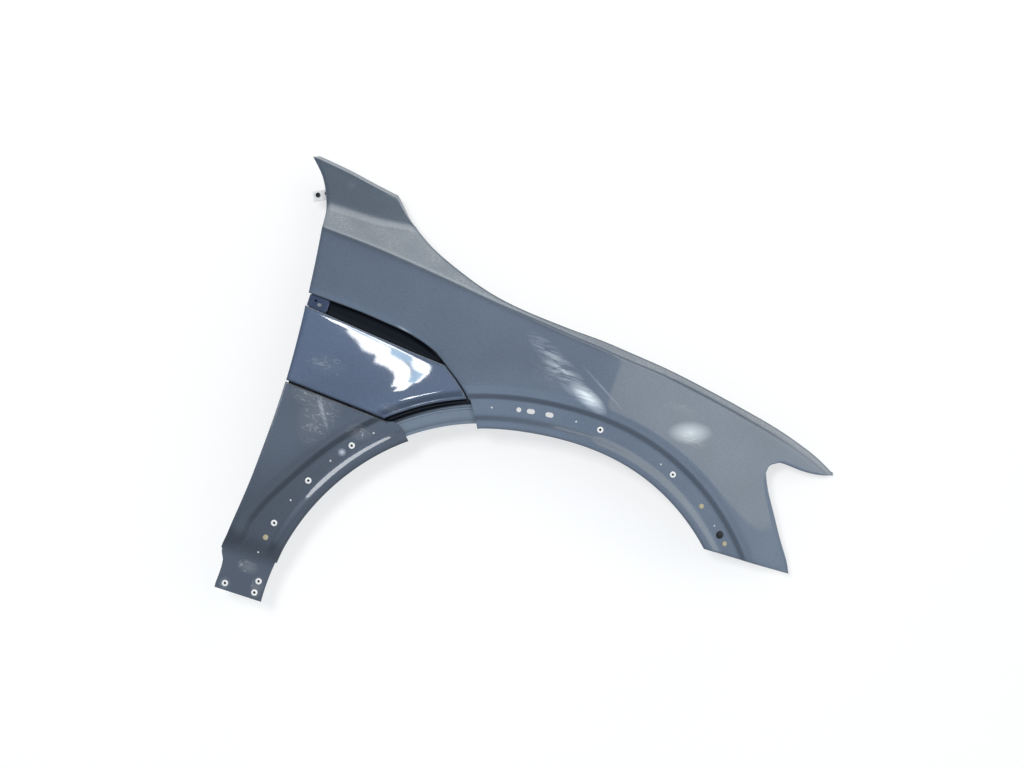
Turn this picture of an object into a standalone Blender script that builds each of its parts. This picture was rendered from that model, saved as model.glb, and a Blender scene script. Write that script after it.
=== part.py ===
# Front fender of a large car, right-hand side: three painted panels, a gloss blade,
# an air outlet and their fastenings.
# X runs forward, Y inboard and Z up. The outlines are drawn about the wheel centre in
# millimetres, and the finished pieces are moved so that the origin is the underside of
# the middle bolt land on the bonnet-side flange.
import math

import bmesh
import bpy
from mathutils import Matrix, Vector

MM = 0.001

# Sheet and edges
SHEET = 1.1
BEND = 2.5
RETURN = 10.0
ARCH_RETURN = 3.0
PANEL_GAP = 3.2
SEAT = 0.3

# Wheel arch and its recessed flange, outward from the arch edge
ARCH_RADIUS = 420.0
# The outlines are drawn for a 420 mm arch, and grow and shrink with it
PLAN = ARCH_RADIUS / 420.0
ARCH_FLAT = 9.0
LIP = 12.0
STRIP = 13.0
STEP_TOP = 62.0
STEP_WALL = 11.0
STEP_ROLL = 16.0
STEP_DEPTH = 9.0
LIP_RISE = 4.0
HOLE_LINE = 37.0

# Body side surface
CROWN_RADIUS = 2300.0
CROWN_HEIGHT = 300.0
NOSE_SWEEP = 135.0
NOSE_START = -20.0
NOSE_LENGTH = 480.0
TAIL_SWEEP = 12.0
TAIL_LENGTH = 560.0
ARCH_FLARE = 7.0
FLARE_WIDTH = 70.0
BAND_SLOPE = 1.0
BAND_SLOPE_FRONT = 1.5
SAIL_SLOPE = 0.25
CREASE_ROUND = 2.2


def drawn(points):
    """Outline points, set out at the size of the arch."""
    return tuple((a * PLAN, b * PLAN) for a, b in points)


def set_back(points):
    """Distances from the arch edge at the size of the arch, against angles."""
    return tuple((offset * PLAN, angle) for offset, angle in points)


# Outlines: X against Z for upright edges, Z against X for long lines
DOOR_EDGE = drawn(((-21, -508), (28, -508), (46, -518), (83, -513), (196, -502), (361, -498),
             (519, -509), (637, -524), (677, -534), (724, -558), (756, -588)))
CREASE = drawn(((-540, 637), (-428, 631), (-337, 622), (-262, 613), (-187, 604), (-108, 597),
          (-57, 592), (3, 587), (50, 582), (131, 575), (210, 563), (285, 549),
          (357, 534), (423, 516), (500, 490)))
VALLEY = drawn(((-550, 677), (-506, 677), (-445, 678), (-416, 682), (-373, 691), (-300, 730),
          (0, 900), (500, 1200)))
SAIL_TOP = drawn(((-590, 757), (-519, 748), (-465, 738), (-422, 731)))
TOP = drawn(((-423, 732), (-400, 710), (-373, 690), (-330, 663), (-272, 638), (-211, 618),
       (-150, 607), (-57, 600), (3, 598), (50, 594), (131, 586), (210, 574), (285, 561),
       (357, 547), (423, 529), (453, 518), (489, 501)))
SLOT_TOP = drawn(((-515, 519), (-417, 515), (-363, 510), (-327, 506), (-300, 500), (-283, 495),
            (-257, 484), (-246, 473)))
SLOT_BOTTOM = drawn(((-515, 497), (-440, 490), (-371, 483), (-299, 476), (-257, 473)))
NOTCH_X = -373.0 * PLAN
SAIL_FRONT_X = -422.0 * PLAN
SEAM_REAR_Z = 361.0 * PLAN
SEAM_FRONT_Z = 350.0 * PLAN
SEAM_REAR_X = -498.0 * PLAN
SEAM_FRONT_X = -310.0 * PLAN
BUMPER_Z = 305.0 * PLAN
FOOT_Z = -21.0 * PLAN
FOOT_FLAT = 45.0
FOOT_FOLD = 28.0
FOLD_EASE = 20.0
LAMP_CORNER = (356.0 * PLAN, 468.0 * PLAN)
LAMP_CORNER_RADIUS = 17.0
LAMP_LOWER = drawn(((457, 305), (446, 328), (422, 360), (391, 406), (370, 438)))
LAMP_UPPER = drawn(((380, 491), (426, 489), (460, 492), (487, 499)))
TIP_X = 487.0 * PLAN
ARCH_SPLIT = 52.8

# Angles in degrees about the wheel centre, against the distance from the arch edge
WING_REAR = set_back(((0, 112.3), (31, 112.9), (49, 113.3), (78, 114.7), (105, 116.4),
                      (133, 118.05)))
LEG_FRONT = set_back(((0, 128.7), (25, 129.1), (37, 129.8), (46, 131.1), (62, 133.2),
                      (78, 135.4)))
# Width of the recessed flange down the lower panel, against the angle
LEG_STEP = ((129, 62), (145, 63), (155, 67), (163, 76), (170, 82), (181, 84))

# Bonnet-side flange
RAIL_DROP = 24.0
RAIL_WIDTH = 24.0
RAIL_REAR = -255.0 * PLAN
RAIL_FRONT = 415.0 * PLAN
LAND_X = (-190.0 * PLAN, 85.0 * PLAN, 330.0 * PLAN)
LAND_HALF = 26.0
LAND_HOLE = 7.0

# Vent panel, blade, outlet and carrier
VENT_SHEET = 2.5
VENT_BEND = 3.5
VENT_LIP = 52.0
VENT_FLARE = 5.0
VENT_FLARE_WIDTH = 24.0
BLADE_RECESS = 3.0
BLADE_SHEET = 3.0
BLADE_REAR = -465.0 * PLAN
TAB_RECESS = 7.0
CARRIER_DEPTH = 24.0
CARRIER_SHEET = 2.0
CARRIER_WALL = 12.0
CARRIER_INSET = 3.0
CARRIER_TOE = 14.0
CARRIER_OVERLAP = 2.0
JOIN_TAB_HALF = 8.0
JOIN_START = 28.0
OUTLET_SHEET = 2.0
OUTLET_FRONT = 111.5
OUTLET_REAR = 132.5
OUTLET_RIM = 3.0
# Outlet tray: distance outward from the arch edge against depth
OUTLET_PROFILE = ((9, 13), (12, 12), (14, 11.5), (17, 14.5), (33, 18), (35, 16), (37, 16),
                  (39, 19), (42, 19.4), (44, 17), (46, 20), (60, 21.7), (84, 21.7))
JOIN_FLANGE = 21.0

# Fastenings
JOIN_X = (-450.0 * PLAN, -385.0 * PLAN)
SEAM_JOIN_X = (-455.0 * PLAN, -365.0 * PLAN)
JOIN_DEPTH = 16.0
VENT_SCREWS = drawn(((-465, 462), (-465, 392), (-330, 450), (-360, 394)))
OUTLET_SCREWS = (126.0, 117.0)
OUTLET_SCREW_LINE = 72.0
TAB_SCREW = (-484.0 * PLAN, 504.0 * PLAN)
TAB_HOLE = (-492.5 * PLAN, 509.5 * PLAN)
TAB_HOLE_RADIUS = 2.2
BLADE_PEG_X = (-430.0 * PLAN, -330.0 * PLAN)
PEG_RADIUS = 2.5
BOSS_RADIUS = 5.0
PILLAR_Z = 700.0 * PLAN
PILLAR_TAB = 24.0
PILLAR_WIDTH = 20.0
CLIP_RADIUS = 5.0
STUB_RADIUS = 4.6
GROMMET_RADIUS = 5.6
GROMMET_BARREL = 3.8
GROMMET_BORE = 2.3
PLUG_RADIUS = 7.0
SCREW_SHANK = 2.4
SCREW_HEAD = 4.8
SCREW_HEAD_HEIGHT = 3.0
HOLE_CLEARANCE = 0.4
NUT_RADIUS = 5.5
NUT_HEIGHT = 3.0

LEG_GROMMETS = (164.9, 152.9, 140.7)
FOOT_GROMMETS = drawn(((-492, -9), (-437, 12), (-438, -9)))
WING_GROMMETS = (83.9, 64.9)
CLIP_ANGLE = 168.6
PLUG_ANGLE = 47.5
STUB_ANGLES = (55.3, 45.2)
LEG_SMALL_HOLES = (172.4, 158.7, 146.4, 135.2)
WING_SMALL_HOLES = (108.5, 89.5, 68.4, 49.9)
WING_LARGE_HOLE = 102.5
WING_OVAL_HOLES = (99.8, 95.6)
SMALL_HOLE = 1.6
LARGE_HOLE = 4.2


def smooth(t):
    """Ease from 0 to 1, flat at both ends."""
    t = min(max(t, 0.0), 1.0)
    return t * t * (3 - 2 * t)


def soft_ramp(t, width):
    """Zero below 0 and t above it, with a rounded corner."""
    if t > 12 * width:
        return t
    return width * math.log1p(math.exp(t / width))


def through(points, t):
    """Height of a smooth curve through points, at t along their first coordinate."""
    points = sorted(points)
    last = len(points) - 2
    i = 0
    while i < last and t > points[i + 1][0]:
        i += 1
    (x0, y0), (x1, y1) = points[i], points[i + 1]
    chord = (y1 - y0) / (x1 - x0)
    before = chord
    after = chord
    if i > 0:
        before = (y1 - points[i - 1][1]) / (x1 - points[i - 1][0])
    if i < last:
        after = (points[i + 2][1] - y0) / (points[i + 2][0] - x0)
    span = x1 - x0
    u = (t - x0) / span
    if u < 0 or u > 1:
        return y0 + chord * (t - x0)
    a = before * span - (y1 - y0)
    b = (y1 - y0) - after * span
    return y0 + u * (y1 - y0) + u * (1 - u) * (a * (1 - u) + b * u)


def arch_radius(angle):
    """The arch is a circle, slightly flattened over the top."""
    return ARCH_RADIUS - ARCH_FLAT * math.exp(-((angle - 97) / 20) ** 2)


def polar(angle, offset):
    """Point at an angle about the wheel centre, offset outward from the arch edge."""
    r = arch_radius(angle) + offset
    a = math.radians(angle)
    return Vector((r * math.cos(a), r * math.sin(a)))


def arch_offset(x, z):
    """Distance outward from the arch edge, and the angle about the wheel centre."""
    angle = math.degrees(math.atan2(z, x)) % 360
    return math.hypot(x, z) - arch_radius(angle), angle


def side(x, z):
    """Depth of the body side: crowned, swept in at the nose, flared round the arch."""
    nose = NOSE_SWEEP * (max(0.0, x - NOSE_START) / NOSE_LENGTH) ** 2.3
    tail = TAIL_SWEEP * (max(0.0, -x) / TAIL_LENGTH) ** 2
    crown = (z - CROWN_HEIGHT) ** 2 / (2 * CROWN_RADIUS)
    offset, _ = arch_offset(x, z)
    flare = ARCH_FLARE * math.exp(-((offset - STEP_TOP) / FLARE_WIDTH) ** 2)
    return nose + tail + crown - flare


def shoulder(x, z):
    """Depth added by the shoulder band above the crease and the sail above the valley."""
    slope = BAND_SLOPE + (BAND_SLOPE_FRONT - BAND_SLOPE) * smooth((x + 300) / 500)
    rise = soft_ramp(z - through(CREASE, x), CREASE_ROUND)
    turn = soft_ramp(z - through(VALLEY, x), CREASE_ROUND * 2)
    return slope * rise - (slope - SAIL_SLOPE) * turn


def recess(offset, top):
    """Depth of the arch flange: lip, sloped strip, flat and wall, up to the skin."""
    wall = smooth((top - offset) / STEP_WALL)
    lip = smooth((LIP + STRIP - offset) / STRIP)
    roll = smooth((top + STEP_ROLL - offset) / STEP_ROLL)
    return (STEP_DEPTH - 1.5) * wall - LIP_RISE * lip + 1.5 * roll


def wing_depth(x, z):
    offset, _ = arch_offset(x, z)
    return side(x, z) + shoulder(x, z) + recess(offset, STEP_TOP)


def leg_depth(x, z):
    """The recess fills the whole width of the foot, which ends in a flat pad."""
    offset, angle = arch_offset(x, z)
    foot = smooth((90 - z) / 45)
    depth = side(x, z) + STEP_DEPTH * foot + (1 - foot) * recess(offset, leg_width(angle))
    pad = side(SEAM_REAR_X, 0) + STEP_DEPTH
    flat = smooth((FOOT_FLAT + 40 - z) / 40)
    return depth + (pad - depth) * flat


def vent_depth(x, z):
    """The vent panel flares outboard along the lip over the air outlet."""
    offset, _ = arch_offset(x, z)
    return side(x, z) - VENT_FLARE * smooth(1 - (offset - VENT_LIP) / VENT_FLARE_WIDTH) ** 2


def door_x(z):
    return through(DOOR_EDGE, z)


def door_corner(line):
    """Where a long line meets the door edge."""
    x = line[0][0]
    for _ in range(8):
        z = through(line, x)
        x = door_x(z)
    return Vector((x, z))


def seam_z(x):
    """Centre line of the gap between the vent panel and the lower panel."""
    t = (x - SEAM_REAR_X) / (SEAM_FRONT_X - SEAM_REAR_X)
    return SEAM_REAR_Z + (SEAM_FRONT_Z - SEAM_REAR_Z) * t


def spaced(start, end, count):
    return [start + (end - start) * i / count for i in range(count + 1)]


def resample(points, count):
    """Points evenly spaced along a polyline."""
    lengths = [0.0]
    for a, b in zip(points, points[1:]):
        lengths.append(lengths[-1] + (b - a).length)
    out = []
    for want in spaced(0.0, lengths[-1], count):
        i = 0
        while i < len(points) - 2 and lengths[i + 1] < want:
            i += 1
        t = (want - lengths[i]) / (lengths[i + 1] - lengths[i])
        out.append(points[i].lerp(points[i + 1], t))
    return out


def smooth_line(points, count):
    """Even points along a smooth curve through points given in any order of direction."""
    dense = []
    vectors = [Vector(p) for p in points]
    ends = [2 * vectors[0] - vectors[1]] + vectors + [2 * vectors[-1] - vectors[-2]]
    for p0, p1, p2, p3 in zip(ends, ends[1:], ends[2:], ends[3:]):
        for k in range(8):
            t = k / 8
            a = 2 * p1 + (p2 - p0) * t + (2 * p0 - 5 * p1 + 4 * p2 - p3) * t * t
            dense.append((a + (3 * p1 - p0 - 3 * p2 + p3) * t ** 3) * 0.5)
    dense.append(vectors[-1])
    return resample(dense, count)


def coons(bottom, top, left, right):
    """Rows of points filling four edges; bottom and top run one way, the sides up."""
    columns = len(bottom) - 1
    rows = len(left) - 1
    grid = []
    for j in range(rows + 1):
        v = (left[j] - left[0]).length / (left[-1] - left[0]).length
        row = []
        for i in range(columns + 1):
            u = i / columns
            ruled = bottom[i] * (1 - v) + top[i] * v + left[j] * (1 - u) + right[j] * u
            corners = (bottom[0] * (1 - u) + bottom[-1] * u) * (1 - v)
            corners += (top[0] * (1 - u) + top[-1] * u) * v
            row.append(ruled - corners)
        row[0] = left[j]
        row[-1] = right[j]
        grid.append(row)
    grid[0] = list(bottom)
    grid[-1] = list(top)
    return grid


def skin(grids, depth):
    """Open surface from grids of (x, z) points that share their edge points."""
    bm = bmesh.new()
    found = {}

    def vertex(p):
        key = (round(p.x, 2), round(p.y, 2))
        if key not in found:
            found[key] = bm.verts.new((p.x, depth(p.x, p.y), p.y))
        return found[key]

    for grid in grids:
        for low, high in zip(grid, grid[1:]):
            for i in range(len(low) - 1):
                corners = [vertex(p) for p in (low[i], low[i + 1], high[i + 1], high[i])]
                bm.faces.new(corners)
    return bm


def boundary(bm):
    """Vertices round the open edge, in order."""
    links = {}
    for edge in bm.edges:
        if edge.is_boundary:
            a, b = edge.verts
            links.setdefault(a, []).append(b)
            links.setdefault(b, []).append(a)
    start = min(links, key=lambda v: (v.co.x, v.co.z))
    loop = [start]
    came = None
    here = start
    while True:
        step = [v for v in links[here] if v is not came][0]
        if step is start:
            return loop
        came = here
        here = step
        loop.append(step)


def outward(loop):
    """Unit directions in the XZ plane, pointing out of the panel at each edge vertex."""
    area = 0.0
    for a, b in zip(loop, loop[1:] + loop[:1]):
        area += a.co.x * b.co.z - b.co.x * a.co.z
    turn = 1 if area > 0 else -1
    out = {}
    count = len(loop)
    for i, vert in enumerate(loop):
        ends = [loop[i - 1].co, vert.co, loop[(i + 1) % count].co]
        normals = []
        for a, b in zip(ends, ends[1:]):
            d = b - a
            normals.append(Vector((d.z, 0, -d.x)).normalized() * turn)
        mean = (normals[0] + normals[1]).normalized()
        out[vert] = mean / max(0.6, mean.dot(normals[0]))
    return out


def add_rows(bm, verts, moves, closed=False):
    """Extend a chain of edge vertices by rows; each move turns a vertex into its next place."""
    chains = [verts]
    for move in moves:
        chains.append([bm.verts.new(move(v, i)) for i, v in enumerate(verts)])
    for low, high in zip(chains, chains[1:]):
        ring = list(zip(low, high))
        pairs = list(zip(ring, ring[1:]))
        if closed:
            pairs.append((ring[-1], ring[0]))
        for (a, c), (b, d) in pairs:
            bm.faces.new((a, b, d, c))
    return chains[-1]


def square_ends(chain, out):
    """Make a folded stretch end square to its own edge."""
    for end, beside in ((chain[0], chain[1]), (chain[-1], chain[-2])):
        along = Vector((beside.co.x - end.co.x, 0, beside.co.z - end.co.z)).normalized()
        out[end] = (out[end] - along * out[end].dot(along)).normalized()


def fold(bm, folded, reach, bend=BEND):
    """Turn the panel's edge inboard round a bend, along the stretches that are folded."""
    loop = boundary(bm)
    out = outward(loop)
    flags = [folded(v.co.x, v.co.z) for v in loop]
    if not all(flags):
        first = next(i for i, f in enumerate(flags) if not f)
        loop = loop[first:] + loop[:first]
        flags = flags[first:] + flags[:first]
    chains = []
    for vert, flag in zip(loop, flags):
        if not flag:
            chains.append([])
        elif chains:
            chains[-1].append(vert)
        else:
            chains.append([vert])
    ends = []
    for chain in [c for c in chains if len(c) > 1]:
        if not all(flags):
            square_ends(chain, out)

        def arc(turn):
            out_by = bend * math.sin(turn)
            in_by = bend * (1 - math.cos(turn))
            return lambda v, i: v.co + out[v] * out_by + Vector((0, in_by, 0))

        def edge(v, i):
            deep, drop = reach(v.co.x, v.co.z)
            return v.co + out[v] * bend + Vector((0, deep, -drop))

        ends.append(add_rows(bm, chain, [arc(math.pi / 4), arc(math.pi / 2), edge], all(flags)))
    return ends


def to_object(name, bm, material):
    """Finish a mesh: turn its faces out, set it in metres about the origin, shade it."""
    bmesh.ops.recalc_face_normals(bm, faces=bm.faces)
    mesh = bpy.data.meshes.new(name)
    bm.to_mesh(mesh)
    bm.free()
    mesh.transform(Matrix.Scale(MM, 4) @ Matrix.Translation(-ORIGIN))
    mesh.shade_smooth()
    mesh.set_sharp_from_angle(angle=math.radians(35))
    mesh.materials.append(material)
    obj = bpy.data.objects.new(name, mesh)
    bpy.context.scene.collection.objects.link(obj)
    return obj


def face_outboard(bm):
    """Point the open skin's faces outboard."""
    bmesh.ops.recalc_face_normals(bm, faces=bm.faces)
    lean = sum(f.normal.y * f.calc_area() for f in bm.faces)
    if lean > 0:
        bmesh.ops.reverse_faces(bm, faces=bm.faces)


def combine(obj, name, operation, prisms, material):
    """Join prisms to a piece, or cut them out of it."""
    tools = bmesh.new()
    for place, outline, length in prisms:
        add_prism(tools, place, outline, length)
    tool = to_object(f"{obj.name}_{name}", tools, material)
    tool.hide_render = True
    tool.display_type = "WIRE"
    step = obj.modifiers.new(name, "BOOLEAN")
    step.object = tool
    step.operation = operation
    step.solver = "EXACT"


def panel(name, bm, thickness, material, holes=(), bosses=()):
    """A sheet piece: the skin is its outboard face, thickened inboard, then pierced."""
    face_outboard(bm)
    mesh = bpy.data.meshes.new(name)
    bm.to_mesh(mesh)
    bm.free()
    mesh.transform(Matrix.Scale(MM, 4) @ Matrix.Translation(-ORIGIN))
    mesh.shade_smooth()
    mesh.materials.append(material)
    obj = bpy.data.objects.new(name, mesh)
    bpy.context.scene.collection.objects.link(obj)
    shell = obj.modifiers.new("Sheet", "SOLIDIFY")
    shell.thickness = thickness * MM
    shell.offset = -1
    shell.use_even_offset = True
    if bosses:
        combine(obj, "bosses", "UNION", bosses, material)
    if holes:
        combine(obj, "holes", "DIFFERENCE", holes, material)
    shading = obj.modifiers.new("Shading", "WEIGHTED_NORMAL")
    shading.weight = 80
    return obj


def circle(radius, count=10):
    return [(radius * math.cos(2 * math.pi * i / count), radius * math.sin(2 * math.pi * i / count))
            for i in range(count)]


def oval(radius, half_length, count=12):
    """A slot's outline, long along its first axis."""
    points = []
    for x, y in circle(radius, count):
        points.append((x + math.copysign(half_length - radius, x), y))
    return points


def add_prism(bm, place, outline, length):
    """A straight prism about its middle, along the local Z axis."""
    rings = []
    for h in (-length / 2, length / 2):
        rings.append([bm.verts.new(place @ Vector((x, y, h))) for x, y in outline])
    bm.faces.new(list(reversed(rings[0])))
    bm.faces.new(rings[1])
    count = len(outline)
    for i in range(count):
        k = (i + 1) % count
        bm.faces.new((rings[0][i], rings[0][k], rings[1][k], rings[1][i]))


def turned(name, place, profile, material, count=16, hollow=False):
    """A turned piece: (radius, height) points about the local Z axis."""
    bm = bmesh.new()
    rings = []
    for radius, height in profile:
        rings.append([bm.verts.new(place @ Vector((x, y, height)))
                      for x, y in circle(radius, count)])
    pairs = list(zip(rings, rings[1:]))
    if hollow:
        pairs.append((rings[-1], rings[0]))
    else:
        bm.faces.new(list(reversed(rings[0])))
        bm.faces.new(rings[-1])
    for low, high in pairs:
        for i in range(count):
            k = (i + 1) % count
            bm.faces.new((low[i], low[k], high[k], high[i]))
    return to_object(name, bm, material)


def seated(x, z, depth, inboard=0.0):
    """Frame on a skin: local Z points inboard along the surface normal."""
    d = 0.5
    dx = (depth(x + d, z) - depth(x - d, z)) / (2 * d)
    dz = (depth(x, z + d) - depth(x, z - d)) / (2 * d)
    normal = Vector((-dx, 1, -dz)).normalized()
    across = Vector((1, dx, 0)).normalized()
    up = normal.cross(across)
    frame = Matrix((across, up, normal)).transposed().to_4x4()
    return Matrix.Translation(Vector((x, depth(x, z), z)) + normal * inboard) @ frame


def on_arch(angle, depth, offset=HOLE_LINE, inboard=0.0):
    p = polar(angle, offset)
    return seated(p.x, p.y, depth, inboard)


def along_z(x, y, z, slope=0.0):
    """Frame whose local Z points up, leaned to suit a flange of the given slope."""
    turn = Matrix.Rotation(-math.atan(slope), 4, "Y")
    return Matrix.Translation((x, y, z)) @ turn


def paint(name, color, roughness, metallic):
    material = bpy.data.materials.new(name)
    material.use_nodes = True
    shader = material.node_tree.nodes["Principled BSDF"]
    shader.inputs["Base Color"].default_value = (*color, 1)
    shader.inputs["Roughness"].default_value = roughness
    shader.inputs["Metallic"].default_value = metallic
    material.diffuse_color = (*color, 1)
    return material


ARCH_ROWS = (0.0, LIP, LIP + STRIP, HOLE_LINE, STEP_TOP - STEP_WALL,
             STEP_TOP - STEP_WALL * 0.7, STEP_TOP - STEP_WALL * 0.3, STEP_TOP,
             STEP_TOP + STEP_ROLL / 2, STEP_TOP + STEP_ROLL)


def crease_row(start, end, count):
    return [Vector((x, through(CREASE, x))) for x in spaced(start, end, count)]


def with_lands(places):
    """Evenly spaced X places, the nearest ones moved to the ends of the bolt lands."""
    for land in LAND_X:
        for end in (land - LAND_HALF, land + LAND_HALF):
            i = min(range(1, len(places) - 1), key=lambda k: abs(places[k] - end))
            places[i] = end
    return places


def top_point(x):
    return Vector((x, through(TOP, x) - BEND))


def wing_rear(offset):
    """Rear edge of the arch part of the wing, set in by the bend."""
    p = polar(through(WING_REAR, offset), offset)
    return Vector((p.x + BEND, p.y))


def lamp_corner(count):
    """Rounded inner corner of the headlamp cut-out, from its lower line to its upper."""
    x, z = LAMP_CORNER
    centre = Vector((x + LAMP_CORNER_RADIUS, z + 2))
    points = []
    for a in spaced(205, 110, count):
        r = LAMP_CORNER_RADIUS + BEND
        points.append(centre + Vector((math.cos(math.radians(a)), math.sin(math.radians(a)))) * r)
    return points


def wing_grids():
    """Patches of the wing panel; neighbours share their edge points."""
    lanes = spaced(0, 1, 3)
    rises = (0.0, 0.4, 0.8, 0.95, 1.0)
    door_foot = door_corner(SLOT_TOP) + Vector((BEND, BEND))
    step = ARCH_ROWS[-1]
    slot_end = WING_REAR[-1][0]
    slot_point = wing_rear(slot_end)
    crease_rear = door_corner(CREASE) + Vector((BEND, 0))
    crease_slot = Vector((slot_point.x - 6, through(CREASE, slot_point.x - 6)))
    corner = lamp_corner(6)
    lamp_mid = corner[3]
    crease_lamp = Vector((lamp_mid.x + 14, through(CREASE, lamp_mid.x + 14)))

    # Over the slot, from the door edge to the slot's front end
    rear_columns = 8
    slot_columns = 6
    low = [Vector((x, through(SLOT_TOP, x) + BEND))
           for x in spaced(door_foot.x, slot_point.x, rear_columns + slot_columns)]
    low[-1] = slot_point
    crease_a = crease_row(crease_rear.x, NOTCH_X, rear_columns)
    crease_a += crease_row(NOTCH_X, crease_slot.x, slot_columns)[1:]
    left = [Vector((door_x(low[0].y + (crease_rear.y - low[0].y) * t) + BEND,
                    low[0].y + (crease_rear.y - low[0].y) * t)) for t in rises]
    left[0] = low[0]
    slot_column = [slot_point.lerp(crease_slot, t) for t in rises]
    over_slot = coons(low, crease_a, left, slot_column)

    # Arch flange, in rows that follow the arch edge
    main_columns = 20
    nose_columns = 6
    flange_rear = []
    flange_front = []
    for offset in ARCH_ROWS:
        s = max(offset, BEND)
        start = through(WING_REAR, s)
        first = wing_rear(s)
        angles = spaced(start, ARCH_SPLIT, main_columns)
        row = [polar(a, s) for a in angles]
        row[0] = first
        row[1] = polar((angles[0] + angles[2]) / 2, s)
        flange_rear.append(row)
        radius = arch_radius(47) + s
        end = math.degrees(math.asin((BUMPER_Z + BEND) / radius))
        flange_front.append([polar(a, s) for a in spaced(ARCH_SPLIT, end, nose_columns)])

    # Main side, between the flange and the crease
    rear = [wing_rear(step + (slot_end - step) * t) for t in lanes] + slot_column[1:]
    lamp_column = [polar(ARCH_SPLIT, step).lerp(lamp_mid, t) for t in lanes]
    upper_column = [lamp_mid.lerp(crease_lamp, t) for t in rises]
    crease_b = [Vector((x, through(CREASE, x)))
                for x in with_lands(spaced(crease_slot.x, crease_lamp.x, main_columns))]
    main_side = coons(flange_rear[-1], crease_b, rear, lamp_column + upper_column[1:])

    # Strip below the headlamp, down to the bumper line
    lower = [Vector(p) + Vector((-0.85, -0.53)) * BEND for p in LAMP_LOWER]
    lower[0].y = BUMPER_Z + BEND
    lamp_low = smooth_line(list(reversed(lower + corner[:4])), nose_columns)
    lamp_low[0] = lamp_mid
    bumper = [flange_front[-1][-1].lerp(lamp_low[-1], t) for t in lanes]
    strip = coons(flange_front[-1], lamp_low, lamp_column, bumper)

    # Finger above the headlamp
    tip_columns = 8
    upper = corner[3:] + [Vector((x, z + BEND)) for x, z in LAMP_UPPER]
    lamp_high = smooth_line(upper, tip_columns)
    lamp_high[0] = lamp_mid
    crease_c = crease_row(crease_lamp.x, TIP_X - BEND, tip_columns)
    lamp_high[-1] = Vector((crease_c[-1].x, crease_c[-1].y - 1.0))
    tip = [lamp_high[-1].lerp(crease_c[-1], t) for t in rises]
    finger = coons(lamp_high, crease_c, upper_column, tip)

    # Shoulder band, up to the valley under the sail and then to the bonnet line
    climb = (0.0, 0.15, 0.5, 1.0)
    valley_rear = door_corner(VALLEY) + Vector((BEND, 0))
    notch = Vector((NOTCH_X, through(VALLEY, NOTCH_X) - BEND))
    valley = [Vector((x, through(VALLEY, x))) for x in spaced(valley_rear.x, NOTCH_X, rear_columns)]
    valley[-1] = notch
    crease_all = crease_a + crease_b[1:] + crease_c[1:]
    bonnet = [top_point(p.x) for p in crease_all[rear_columns + 1:]]
    bonnet[-1] = Vector((crease_all[-1].x, crease_all[-1].y + 2.0))
    band_left = [Vector((door_x(crease_rear.y + (valley_rear.y - crease_rear.y) * t) + BEND,
                         crease_rear.y + (valley_rear.y - crease_rear.y) * t)) for t in climb]
    band_left[0] = crease_all[0]
    band_left[-1] = valley[0]
    band_right = [crease_all[-1].lerp(bonnet[-1], t) for t in climb]
    band = coons(crease_all, valley + bonnet, band_left, band_right)

    # Sail, up to the top edge behind the bonnet
    sail_rear = door_corner(SAIL_TOP) + Vector((BEND * 1.4, -BEND * 1.6))
    bracket = (PILLAR_Z - valley_rear.y) / (sail_rear.y - valley_rear.y)
    tall = (0.0, bracket, (1 + bracket) / 2, 1.0)
    sail_top = [Vector((x, through(SAIL_TOP, x) - BEND))
                for x in spaced(sail_rear.x, SAIL_FRONT_X, rear_columns)]
    sail_left = [Vector((door_x(valley_rear.y + (sail_rear.y - valley_rear.y) * t) + BEND,
                         valley_rear.y + (sail_rear.y - valley_rear.y) * t)) for t in tall]
    sail_left[0] = valley[0]
    sail_left[-1] = sail_top[0]
    sail_right = []
    for t in tall:
        x = NOTCH_X + (SAIL_FRONT_X - NOTCH_X) * t
        sail_right.append(Vector((x, through(TOP, x) - BEND)))
    sail_right[0] = notch
    sail_right[-1] = sail_top[-1]
    sail = coons(valley, sail_top, sail_left, sail_right)
    return [over_slot, flange_rear, flange_front, main_side, strip, finger, band, sail]


def land_z(x):
    """Height of the bonnet-side flange: level at each bolt land, sloped between them."""
    knots = []
    for land in LAND_X:
        z = through(TOP, land) - RAIL_DROP
        half = LAND_HALF + 1.0
        knots += [(land - half, z), (land + half, z)]
    knots = [(RAIL_REAR, knots[0][1] + 12)] + knots + [(RAIL_FRONT + 20, knots[-1][1] - 26)]
    for (x0, z0), (x1, z1) in zip(knots, knots[1:]):
        if x <= x1:
            t = min(max((x - x0) / (x1 - x0), 0.0), 1.0)
            return z0 + (z1 - z0) * t
    return knots[-1][1]


def wing_reach(x, z):
    """Depth and drop of the wing's return edge."""
    offset, _ = arch_offset(x, z)
    if offset < LIP:
        return BEND + ARCH_RETURN, 0.0
    if abs(z - BUMPER_Z - BEND) < 1:
        return BEND + RETURN + 8, 0.0
    if z < through(SLOT_TOP, x) + 2 * BEND and x < SLOT_TOP[-1][0]:
        return JOIN_FLANGE, 0.0
    if z > through(CREASE, x) + 1 and x > door_x(z) + 2 * BEND:
        bonnet = smooth((x - NOTCH_X) / 110) * smooth((TIP_X - 12 - x) / 40)
        sail = smooth((NOTCH_X - x) / 40)
        return RETURN * (1 - 0.4 * bonnet), 9.0 * bonnet - 5.0 * sail
    return RETURN, 0.0


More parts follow.
